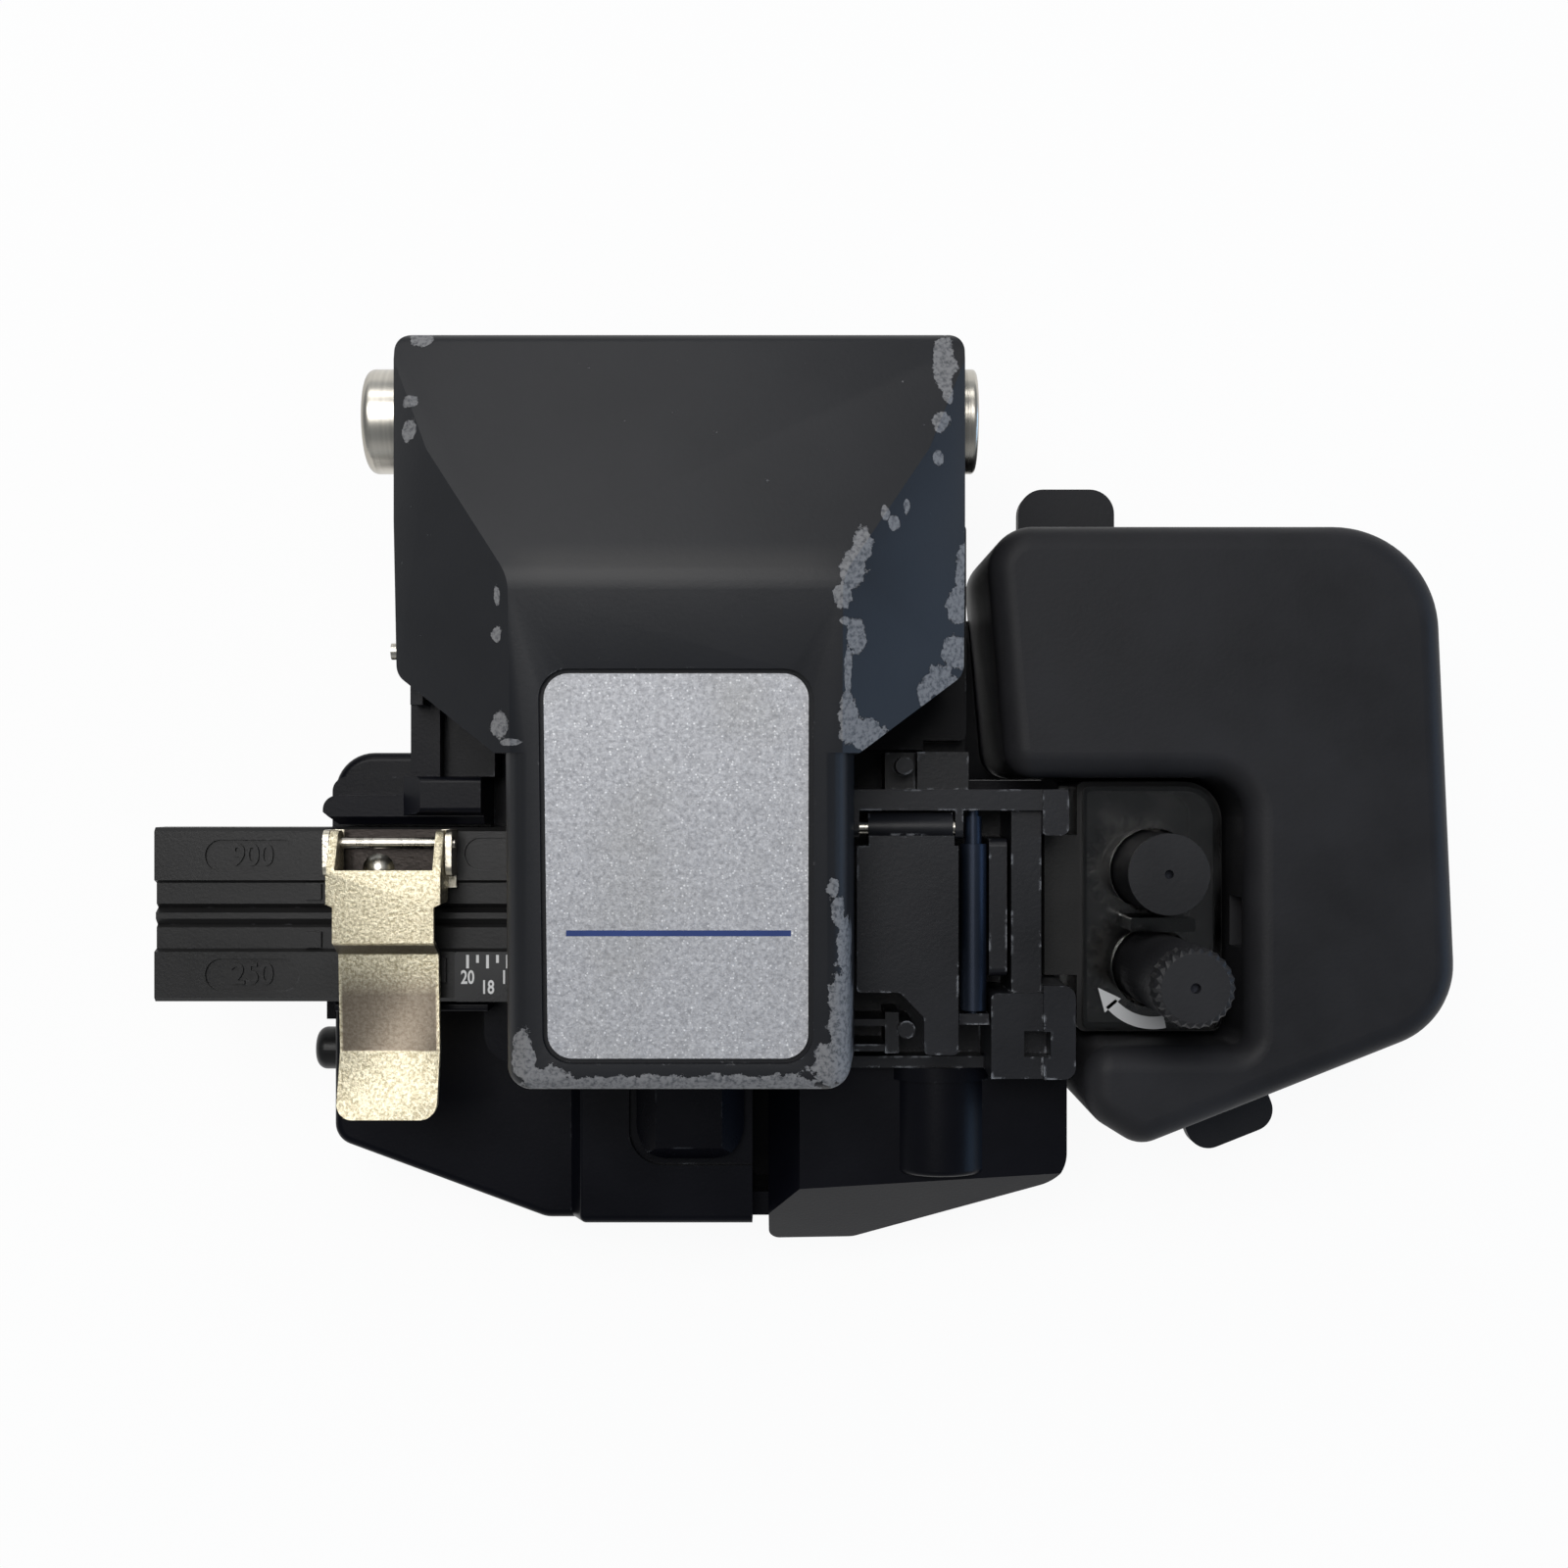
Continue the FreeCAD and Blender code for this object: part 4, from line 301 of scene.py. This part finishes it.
tree.links.new(add_node(tree, "MapRange", {"Value": bands.outputs[0], "To Min": 0.20, "To Max": 0.36})
               .outputs[0], shader.inputs["Roughness"])
tree.links.new(add_node(tree, "Bump", {"Height": lathe.outputs[0], "Distance": 0.000012}).outputs[0],
               shader.inputs["Normal"])
shader.inputs["Metallic"].default_value = 1.0
dress(turned_steel, "hinge_pin", "hinge_cap_left", "hinge_cap_right", "clamp_cross_pin", "flap_hinge_pin",
      "tail_arm_pin", "latch_pivot_pin", "blade_axle", "release_pin", "guide_rods")

spring_wire = finish_of("spring_wire", (0.42, 0.42, 0.41), 0.3, metallic=1.0, grain=(6000.0, 0.00001))
dress(spring_wire, "lid_spring", "return_spring", "anvil_spring")


# ---------------------------------------------------------------- lid
# The lid is a cast shell in satin charcoal paint, which hands have worn through to grey metal
# along its front edge, its corners and the ridge of its right facet.
lid_paint, tree, shader, place = fresh_material("lid_paint")
shader.inputs["Specular IOR Level"].default_value = 0.27
texture = grain_on(tree, place, 2600.0)
worn_patches = [                  # middle x, y and half sizes of each, in millimetres
    (5.0, 25.4, 0.9, 1.6), (4.1, 22.9, 1.1, 1.8), (3.2, 20.7, 0.8, 1.2), (4.4, 17.2, 0.8, 1.5),
    (3.4, 18.4, 0.5, 0.4), (3.7, 13.6, 0.3, 2.6), (3.7, 9.7, 0.8, 2.4), (5.6, 8.1, 1.6, 1.4),
    (7.1, 28.4, 0.4, 0.6), (8.0, 27.6, 0.5, 0.6), (9.2, 29.3, 0.3, 0.7), (14.8, 23.7, 0.7, 2.6),
    (14.3, 20.4, 1.0, 1.4), (14.2, 15.9, 1.3, 1.4), (12.4, 13.3, 1.6, 1.3), (11.1, 12.0, 0.7, 1.0),
    (12.9, 43.6, 1.0, 3.2), (12.5, 37.4, 0.8, 1.0), (13.2, 40.0, 0.5, 0.8), (12.2, 33.8, 0.5, 0.6),
    (-36.4, 45.6, 1.0, 0.9), (-37.1, 39.3, 0.7, 0.6), (-37.2, 36.6, 0.7, 1.0),
    (-28.3, 20.6, 0.3, 1.0), (-28.4, 17.2, 0.5, 0.6), (-28.2, 9.0, 0.8, 1.2), (-27.0, 7.4, 1.0, 0.3),
    (2.3, -6.1, 0.6, 0.9), (2.9, -8.4, 0.6, 1.5), (3.5, -11.5, 0.7, 2.8), (3.2, -17.6, 1.2, 4.4),
    (2.4, -22.6, 2.0, 2.4), (-12.0, -24.6, 16.0, 1.1), (-26.4, -21.8, 1.0, 2.6), (-24.6, -24.0, 2.2, 1.3),
    (-12.0, 47.0, 26.0, 0.7),
]


patch_reach = 1.55                # how far wear spreads, in half sizes


def worn_field(tree, place, patches):
    """How near a point lies to the worn patches: 1 well inside one, 0 away from all."""
    field = None
    for centre_x, centre_y, half_x, half_y in patches:
        moved = add_node(tree, "Mapping", {"Vector": place,
                                           "Location": (-centre_x / half_x, -centre_y / half_y, 0),
                                           "Scale": (1000 / half_x, 1000 / half_y, 0)})
        reach = add_node(tree, "VectorMath", {0: moved.outputs[0]}, operation="LENGTH").outputs["Value"]
        near = calculate(tree, "SUBTRACT", patch_reach, reach, clamp=True)
        field = near if field is None else calculate(tree, "MAXIMUM", field, near)
    return field


field = worn_field(tree, place, worn_patches)
jagged = add_node(tree, "TexNoise", {"Vector": place, "Scale": 620.0, "Detail": 8.0, "Roughness": 0.68})
rubbed = rubbed_on(tree, place, 0.0006, -0.8)
total = calculate(tree, "ADD", calculate(tree, "MULTIPLY", field, 0.42), jagged.outputs[0])
chipped = add_node(tree, "MapRange", {"Value": total, "From Min": 0.695, "From Max": 0.715}).outputs[0]
chipped = calculate(tree, "MAXIMUM", chipped, rubbed)
spread = add_node(tree, "MapRange", {"Value": texture.outputs["Cloud"], "From Min": 0.3, "From Max": 0.7})
paint = blend_colour(tree, spread.outputs[0], (0.0100, 0.0106, 0.0128), (0.0132, 0.0138, 0.0163))
# Painted highlight: a lighter band along the lid's crease, fading out beside the lid's middle, stands in
# for the sheen on the rounded crease.
ridge_y, lid_middle_x = 0.0234, -0.012
along = add_node(tree, "SeparateXYZ", {0: place}).outputs
from_ridge = calculate(tree, "ABSOLUTE", calculate(tree, "SUBTRACT", along["Y"], ridge_y))
ridge = add_node(tree, "MapRange", {"Value": from_ridge, "From Min": 0.0004, "From Max": 0.0022,
                                    "To Min": 0.7, "To Max": 0.0}).outputs[0]
from_middle = calculate(tree, "ABSOLUTE", calculate(tree, "ADD", along["X"], -lid_middle_x))
beside = add_node(tree, "MapRange", {"Value": from_middle, "From Min": 0.0120, "From Max": 0.0165,
                                     "To Min": 1.0, "To Max": 0.0})
ridge = calculate(tree, "MULTIPLY", ridge, beside.outputs[0])
paint = blend_colour(tree, ridge, paint, (0.034, 0.033, 0.033))
pitted = add_node(tree, "MapRange", {"Value": texture.outputs["Grain"], "From Min": 0.34, "From Max": 0.56})
bare = blend_colour(tree, pitted.outputs[0], (0.075, 0.078, 0.085), (0.20, 0.20, 0.205))
tree.links.new(blend_colour(tree, chipped, paint, bare), shader.inputs["Base Color"])
tree.links.new(add_node(tree, "MapRange", {"Value": chipped, "To Min": 0.44, "To Max": 0.55}).outputs[0],
               shader.inputs["Roughness"])
step = calculate(tree, "SUBTRACT", calculate(tree, "MULTIPLY", texture.outputs["Grain"], 0.25), chipped)
tree.links.new(add_node(tree, "Bump", {"Height": step, "Distance": 0.00005}).outputs[0],
               shader.inputs["Normal"])
soften("lid_shell", "lid_cover", "lid", lid_paint, 0.0009, angle=12, segments=4)


# ---------------------------------------------------------------- label
# A silver film with a fine sparkle, stuck in a shallow pocket of the lid. It is left plain,
# with one ruled line across it.
label_film, tree, shader, place = fresh_material("label_film")
shader.inputs["Metallic"].default_value = 0.35
shader.inputs["Coat Weight"].default_value = 0.3
flake = add_node(tree, "TexVoronoi", {"Vector": place, "Scale": 4300.0, "Randomness": 1.0})
tint = add_node(tree, "SeparateColor", {0: flake.outputs["Color"]}).outputs
spark = add_node(tree, "MapRange", {"Value": tint[1], "From Min": 0.80, "From Max": 0.97})
spot = add_node(tree, "MapRange", {"Value": flake.outputs["Distance"], "From Min": 0.20, "From Max": 0.55,
                                   "To Min": 1.0, "To Max": 0.0})
glint = calculate(tree, "MULTIPLY", spark.outputs[0], spot.outputs[0])
dusty = add_node(tree, "TexNoise", {"Vector": place, "Scale": 2600.0, "Detail": 4.0, "Roughness": 0.75})
speckle = add_node(tree, "MapRange", {"Value": dusty.outputs[0], "From Min": 0.36, "From Max": 0.64})
haze = add_node(tree, "TexNoise", {"Vector": place, "Scale": 90.0, "Detail": 3.0})
silver = blend_colour(tree, speckle.outputs[0], (0.36, 0.36, 0.38), (0.62, 0.62, 0.64))
silver = blend_colour(tree, glint, silver, (0.92, 0.92, 0.93))
grime = add_node(tree, "MapRange", {"Value": haze.outputs[0], "From Min": 0.52, "From Max": 0.72,
                                    "To Max": 0.22})
tree.links.new(blend_colour(tree, grime.outputs[0], silver, (0.30, 0.29, 0.25)),
               shader.inputs["Base Color"])
tree.links.new(add_node(tree, "MapRange", {"Value": tint[0], "To Min": 0.5, "To Max": 0.28})
               .outputs[0], shader.inputs["Roughness"])
tree.links.new(add_node(tree, "Bump", {"Height": calculate(tree, "ADD", tint[2], dusty.outputs[0]),
                                       "Distance": 0.00002})
               .outputs[0], shader.inputs["Normal"])
dress(label_film, "label_plate")

neck_rise, neck_run = 0.0048, 0.0474
label_tilt = math.atan2(neck_rise, neck_run)
label_place = (Matrix.Translation((-0.012, -0.025, 0.0432)) @ Matrix.Rotation(label_tilt, 4, "X"))
film_top, ink_thickness = -0.0003, 0.00002
rule_length, rule_width, rule_up = 0.0208, 0.00055, 0.0148
work = bmesh.new()
bmesh.ops.create_grid(work, x_segments=1, y_segments=1, size=0.5)
bmesh.ops.scale(work, verts=work.verts, vec=(rule_length, rule_width, 1))
bmesh.ops.translate(work, verts=work.verts, vec=(0.0001, rule_up, film_top + ink_thickness))
bmesh.ops.transform(work, verts=work.verts, matrix=label_place)
mesh = bpy.data.meshes.new("label_rule")
work.to_mesh(mesh)
work.free()
label_rule = bpy.data.objects.new("label_rule", mesh)
scene.collection.objects.link(label_rule)
mesh.materials.append(finish_of("rule_ink", (0.012, 0.035, 0.16), 0.45, grain=(5000.0, 0.000006)))
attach(label_rule, "lid")


# ---------------------------------------------------------------- clamps under the lid
# The upper clamp swings on the cross pin and carries two rubber pads; matching pads lie on
# seats in the base. The anvil between them is sprung.
pad_rubber = finish_of("pad_rubber", (0.0085, 0.0085, 0.0100), 0.6, specular=0.2, grain=(2200.0, 0.00003))
dress(pad_rubber, "upper_clamp_pads", "lower_clamp_pads", "anvil", "flap_pad", "tail_arm_pad", "tail_pad",
      "idler_roller")
frame_metal = finish_of("frame_metal", (0.0095, 0.0100, 0.0125), 0.36, specular=0.25,
                        grain=(2600.0, 0.000015), rubbed=(0.0006, (0.24, 0.25, 0.27), -0.1))
dress(frame_metal, "upper_clamp_carrier", "lower_pad_seats", "anvil_holder", "latch_pawl", "feed_frame",
      "tail_clamp_arm", "fibre_guide_plate", "collector_bracket")

# The collector's bracket is a folded plate screwed to the base's side. Its rear edge is fitted close
# against the wing of the base.
flange = soften("collector_bracket", "collector_flange", "base", frame_metal, 0.0002)
flange_edge, wing_edge = 0.00435, 0.00398
for vertex in flange.data.vertices:
    if abs(vertex.co.y - flange_edge) < 0.00001:
        vertex.co.y = wing_edge


# ---------------------------------------------------------------- blade slider
# The painted slider runs on two ground rods and carries the carbide wheel in its fork. Its
# thumb pad stands in a sunk track, bright along the edges that fingers push.
slider_paint = finish_of("slider_paint", (0.0024, 0.0025, 0.0045), 0.28, specular=0.10,
                         grain=(3200.0, 0.00001), rubbed=(0.0005, (0.08, 0.085, 0.095), -0.3))
dress(slider_paint, "blade_slider")
carbide = finish_of("carbide", (0.34, 0.35, 0.37), 0.22, metallic=1.0, grain=(4200.0, 0.000008))
dress(carbide, "blade_wheel")


# ---------------------------------------------------------------- adapter plate and scale
# The adapter is moulded in black plastic with a groove for each coating size, marked by raised
# figures in rounded recesses. A printed scale plate is let into its front edge.
black_plastic = finish_of("black_plastic", (0.0125, 0.0123, 0.0125), 0.36, specular=0.28,
                          grain=(3000.0, 0.000012), rubbed=(0.0004, (0.06, 0.06, 0.063), -0.6))
dress(black_plastic, "adapter_plate", "side_button", "roller_housing")
scale_black = finish_of("scale_black", (0.006, 0.006, 0.007), 0.3, grain=(4000.0, 0.000004))
dress(scale_black, "scale_plate")


def letter_mesh(text, size, squeeze, boldness, thickness):
    """Flat figures about their own middle, as a bmesh."""
    curve = bpy.data.curves.new("figures", "FONT")
    curve.body = text
    curve.size = size
    curve.offset = boldness
    curve.extrude = thickness / 2
    curve.align_x = "CENTER"
    curve.align_y = "CENTER"
    curve.resolution_u = 4
    holder = bpy.data.objects.new("figures", curve)
    scene.collection.objects.link(holder)
    flat_mesh = bpy.data.meshes.new_from_object(holder)
    bpy.data.objects.remove(holder)
    figures = bmesh.new()
    figures.from_mesh(flat_mesh)
    bpy.data.meshes.remove(flat_mesh)
    bmesh.ops.scale(figures, verts=figures.verts, vec=(squeeze, 1, 1))
    return figures


def join_pieces(name, parts, body, material):
    """One piece made of several loose shapes, riding on a body."""
    mesh = bpy.data.meshes.new(name)
    whole = bmesh.new()
    for part in parts:
        loose = bpy.data.meshes.new("loose")
        part.to_mesh(loose)
        part.free()
        whole.from_mesh(loose)
        bpy.data.meshes.remove(loose)
    whole.to_mesh(mesh)
    whole.free()
    mesh.materials.append(material)
    piece = bpy.data.objects.new(name, mesh)
    scene.collection.objects.link(piece)
    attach(piece, body)
    return piece


scale_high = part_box("scale_plate")[1]
print_z = scale_high.z + ink_thickness
zero_x = -0.0139
tick_width, long_tick, short_tick = 0.00028, 0.00135, 0.0008
figure_size, figure_squeeze = 0.0019, 0.72
marks = []
for mark in range(20, 9, -1):
    tick = bmesh.new()
    bmesh.ops.create_grid(tick, x_segments=1, y_segments=1, size=0.5)
    reach = long_tick if mark % 2 == 0 else short_tick
    bmesh.ops.scale(tick, verts=tick.verts, vec=(tick_width, reach, 1))
    bmesh.ops.translate(tick, verts=tick.verts,
                        vec=(zero_x - mark * 0.001, scale_high.y - 0.0003 - reach / 2, print_z))
    marks.append(tick)
    if mark % 2 == 0:
        figure = letter_mesh(str(mark), figure_size, figure_squeeze, 0.00004, 0.0)
        drop = 0.0026 if mark % 4 == 0 else 0.0036
        bmesh.ops.translate(figure, verts=figure.verts,
                            vec=(zero_x - mark * 0.001, scale_high.y - drop, print_z))
        marks.append(figure)
white_ink = finish_of("white_ink", (0.66, 0.66, 0.66), 0.5, grain=(5000.0, 0.000005), mottle=0.08)
join_pieces("scale_marks", marks, "adapter", white_ink)

adapter_low, adapter_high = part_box("adapter_plate")
recess_x = adapter_low.x + 0.0098
recess_floor = 0.0281
raised = []
for text, figure_y in (("900", adapter_high.y - 0.00285), ("250", adapter_low.y + 0.0027)):
    figure = letter_mesh(text, 0.0030, 0.95, 0.00006, 0.0003)
    bmesh.ops.translate(figure, verts=figure.verts, vec=(recess_x, figure_y, recess_floor + 0.0001))
    raised.append(figure)
join_pieces("raised_figures", raised, "adapter", black_plastic)


# ---------------------------------------------------------------- clamp flap
# A bent strip of bead-blasted sheet holds the fibre in the groove. Its bracket is screwed to
# the adapter. Its middle is rubbed smooth by the thumb and painted dark, partly for that smoother finish
# and partly as painted shade where the sheet tilts away from the light; a painted shadow darkens its step.
flap_metal, tree, shader, place = fresh_material("flap_metal")
shader.inputs["Metallic"].default_value = 0.9
flap_middle_x, flap_step_y = -0.0413, -0.01275
blast = add_node(tree, "TexNoise", {"Vector": place, "Scale": 3000.0, "Detail": 4.0, "Roughness": 0.72})
along = add_node(tree, "SeparateXYZ", {0: place}).outputs
from_edge = calculate(tree, "ABSOLUTE", calculate(tree, "ADD", along["X"], -flap_middle_x))
inside = add_node(tree, "MapRange", {"Value": from_edge, "From Min": 0.0046, "From Max": 0.0049,
                                     "To Min": 1.0, "To Max": 0.0}).outputs[0]
start = add_node(tree, "MapRange", {"Value": along["Y"], "From Min": -0.0175, "From Max": -0.0140,
                                    "To Min": 1.0, "To Max": 0.0}).outputs[0]
end = add_node(tree, "MapRange", {"Value": along["Y"], "From Min": -0.0231, "From Max": -0.0229}).outputs[0]
# smooth marks the thumbed middle: smoother and less gritty, and painted dark, partly for that finish and
# partly as painted shade.
smooth = calculate(tree, "MULTIPLY", inside, calculate(tree, "MULTIPLY", start, end))
# Painted shade: a dark band along the step of the sheet, where its steep face lies in shade.
from_step = calculate(tree, "ABSOLUTE", calculate(tree, "ADD", along["Y"], -flap_step_y))
painted_step_shade = add_node(tree, "MapRange", {"Value": from_step, "From Min": 0.00045, "From Max": 0.00065,
                                    "To Min": 1.0, "To Max": 0.0}).outputs[0]
spots = add_node(tree, "MapRange", {"Value": blast.outputs[0], "From Min": 0.40, "From Max": 0.60})
bright = blend_colour(tree, spots.outputs[0], (0.50, 0.43, 0.28), (0.98, 0.90, 0.68))
thumbed_and_shaded = blend_colour(tree, calculate(tree, "MULTIPLY", smooth, 0.86), bright, (0.155, 0.122, 0.100))
tree.links.new(blend_colour(tree, calculate(tree, "MULTIPLY", painted_step_shade, 0.92), thumbed_and_shaded,
                            (0.035, 0.028, 0.022)), shader.inputs["Base Color"])
tree.links.new(add_node(tree, "MapRange", {"Value": smooth, "To Min": 0.40, "To Max": 0.46}).outputs[0],
               shader.inputs["Roughness"])
grit = calculate(tree, "MULTIPLY", blast.outputs[0],
                 calculate(tree, "SUBTRACT", 1.0, calculate(tree, "MULTIPLY", smooth, 0.8)))
tree.links.new(add_node(tree, "Bump", {"Height": grit, "Distance": 0.00009}).outputs[0],
               shader.inputs["Normal"])
soften("clamp_flap", "clamp_flap_sheet", "flap", flap_metal, 0.00018, angle=25)

# The bracket's two ears are bright, and the plate between them is painted dark as the shadow under the
# flap.
bracket_steel, tree, shader, place = fresh_material("bracket_steel")
shader.inputs["Metallic"].default_value = 1.0
texture = grain_on(tree, place)
ears_x = add_node(tree, "SeparateXYZ", {0: place}).outputs["X"]
from_flap = calculate(tree, "ABSOLUTE", calculate(tree, "ADD", ears_x, -flap_middle_x))
ears = add_node(tree, "MapRange", {"Value": from_flap, "From Min": 0.0048, "From Max": 0.0050}).outputs[0]
shiny = blend_colour(tree, texture.outputs["Grain"], (0.42, 0.38, 0.30), (0.90, 0.86, 0.74))
# Between the ears the plate gets a near-black colour: a painted shadow under the flap.
tree.links.new(blend_colour(tree, ears, (0.030, 0.026, 0.024), shiny), shader.inputs["Base Color"])
tree.links.new(add_node(tree, "MapRange", {"Value": texture.outputs["Cloud"], "To Min": 0.22,
                                           "To Max": 0.42}).outputs[0], shader.inputs["Roughness"])
tree.links.new(add_node(tree, "Bump", {"Height": texture.outputs["Grain"], "Distance": 0.00003}).outputs[0],
               shader.inputs["Normal"])
dress(bracket_steel, "flap_bracket")
dress(turned_steel, "flap_bracket_screw")


# ---------------------------------------------------------------- feed rollers
# The guide roller is blue-black anodised aluminium. The drum and the idler to its right carry
# the cut fibre into the collector; the drum's upper end is the knurled knob that turns them.
anodised = finish_of("anodised_dark", (0.014, 0.020, 0.034), 0.42, metallic=0.7, grain=(4200.0, 0.000008))
dress(anodised, "guide_roller")
knob_plastic = finish_of("knob_plastic", (0.0150, 0.0150, 0.0165), 0.42, specular=0.22,
                         grain=(2600.0, 0.00002))
dress(knob_plastic, "knurled_drum", "idler_cap")
gear_plastic = finish_of("gear_plastic", (0.060, 0.057, 0.052), 0.5, grain=(2500.0, 0.00001))
dress(gear_plastic, "idler_gear", "drive_gear")
blued_steel = finish_of("blued_steel", (0.030, 0.032, 0.040), 0.4, metallic=1.0, grain=(4200.0, 0.000008))
dress(blued_steel, "idler_shaft", "drive_shaft")

drum_low, drum_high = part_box("knurled_drum")
drum_x = (drum_low.x + drum_high.x) / 2
drum_y = (drum_low.y + drum_high.y) / 2
drum_radius = 0.0036
knurl_depth = 0.00024
teeth = 26
crown_start = drum_high.z - 0.0034
work = bmesh.new()
ring = bmesh.ops.create_circle(work, cap_ends=False, radius=drum_radius, segments=2 * teeth)["verts"]
bmesh.ops.translate(work, verts=ring, vec=(0, 0, drum_low.z))
rows = 34
lift = (crown_start - drum_low.z) / rows
edges = [edge for edge in work.edges]


def grow_ring(edges, up):
    """Draws the open ring upwards by one step, and gives its new edges and corners."""
    grown = bmesh.ops.extrude_edge_only(work, edges=edges)["geom"]
    verts = [item for item in grown if isinstance(item, bmesh.types.BMVert)]
    bmesh.ops.translate(work, verts=verts, vec=(0, 0, up))
    return [item for item in grown if isinstance(item, bmesh.types.BMEdge)], verts


for row in range(rows):
    edges, verts = grow_ring(edges, lift)
for vert in work.verts:
    turn = math.atan2(vert.co.y, vert.co.x) / (math.pi / teeth)
    level = (vert.co.z - drum_low.z) / lift
    out = knurl_depth if (round(turn) + round(level)) % 2 == 0 else -knurl_depth
    vert.co.xy = vert.co.xy * (1 + out / drum_radius)
crown_out, crown_in = 0.00022, 0.00012
for radius_share, up, tooth in ((1.0, 0.0003, 0.0), (1.075, 0.0003, 1.0), (1.075, 0.0020, 1.0),
                                (0.99, 0.0006, 1.0), (0.90, 0.0002, 0.0)):
    edges, verts = grow_ring(edges, up)
    for vert in verts:
        turn = round(math.atan2(vert.co.y, vert.co.x) / (math.pi / teeth))
        size = drum_radius * radius_share + (tooth * crown_out if turn % 2 == 0 else -tooth * crown_in)
        vert.co.xy = vert.co.xy.normalized() * min(size, drum_high.x - drum_x)
hole_radius, hole_depth = 0.0005, 0.0030
for radius, up in ((hole_radius, 0.0), (hole_radius, -hole_depth), (0.0, 0.0)):
    edges, verts = grow_ring(edges, up)
    for vert in verts:
        vert.co.xy = vert.co.xy.normalized() * radius
bmesh.ops.holes_fill(work, edges=[edge for edge in work.edges if edge.is_boundary], sides=0)
bmesh.ops.remove_doubles(work, verts=work.verts, dist=0.000002)
bmesh.ops.recalc_face_normals(work, faces=work.faces)
bmesh.ops.translate(work, verts=work.verts, vec=(drum_x, drum_y, 0))
drum_knob = join_pieces("drum_knob", [work], "drum", knob_plastic)
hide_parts("knurled_drum")

# The window and the guide strip beside the rollers are smoky clear plastic, a little smeared.
smoky, tree, shader, place = fresh_material("smoky_clear")
shader.inputs["Transmission Weight"].default_value = 1.0
shader.inputs["IOR"].default_value = 1.49
shader.inputs["Base Color"].default_value = (0.58, 0.57, 0.56, 1)
smear = add_node(tree, "TexNoise", {"Vector": place, "Scale": 260.0, "Detail": 5.0})
tree.links.new(add_node(tree, "MapRange", {"Value": smear.outputs[0], "From Min": 0.35, "From Max": 0.75,
                                           "To Min": 0.04, "To Max": 0.28}).outputs[0],
               shader.inputs["Roughness"])
dress(smoky, "roller_window", "guide_strip")

# A curved arrow beside the knob shows which way to turn it.
arrow_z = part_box("roller_window")[1].z + 0.00003
arrow_radius = 0.0058
arrow_width = 0.0013
head_turn = 0.08
arrow = bmesh.new()
start_angle, end_angle = math.radians(-78), math.radians(-140)
inner = arrow.verts.new((arrow_radius - arrow_width / 2, 0, 0))
outer = arrow.verts.new((arrow_radius + arrow_width / 2, 0, 0))
band_edge = arrow.edges.new((inner, outer))
bmesh.ops.rotate(arrow, verts=arrow.verts, cent=(0, 0, 0), matrix=Matrix.Rotation(start_angle, 3, "Z"))
bmesh.ops.spin(arrow, geom=[band_edge], cent=(0, 0, 0), axis=(0, 0, 1), dvec=(0, 0, 0),
               angle=end_angle - start_angle, steps=16, use_merge=False, use_duplicate=False)
tip = bmesh.new()
bmesh.ops.create_circle(tip, cap_ends=True, radius=0.0013, segments=3)
bmesh.ops.scale(tip, verts=tip.verts, vec=(1.0, 1.25, 1))
bmesh.ops.rotate(tip, verts=tip.verts, cent=(0, 0, 0),
                 matrix=Matrix.Rotation(end_angle + math.radians(180), 3, "Z"))
tip_angle = end_angle - head_turn
bmesh.ops.translate(tip, verts=tip.verts,
                    vec=(arrow_radius * math.cos(tip_angle), arrow_radius * math.sin(tip_angle), 0))
for part in (arrow, tip):
    bmesh.ops.translate(part, verts=part.verts, vec=(drum_x, drum_y, arrow_z))
    for face in part.faces:
        face.normal_update()
    bmesh.ops.reverse_faces(part, faces=[face for face in part.faces if face.normal.z < 0])
grey_ink = finish_of("grey_ink", (0.52, 0.53, 0.54), 0.5, grain=(5000.0, 0.000005), mottle=0.1)
join_pieces("turn_arrow", [arrow, tip], "base", grey_ink)


# ---------------------------------------------------------------- collector
# The off-cut tray and its lift-off cover are matt charcoal mouldings with soft edges. They hang
# on the bracket at the base's right side.
collector_plastic = finish_of("collector_plastic", (0.0165, 0.0165, 0.0185), 0.50, specular=0.16,
                              grain=(2400.0, 0.00002), rubbed=(0.0006, (0.07, 0.07, 0.072), -0.9))
dress(collector_plastic, "collector_tray", "collector_cover")
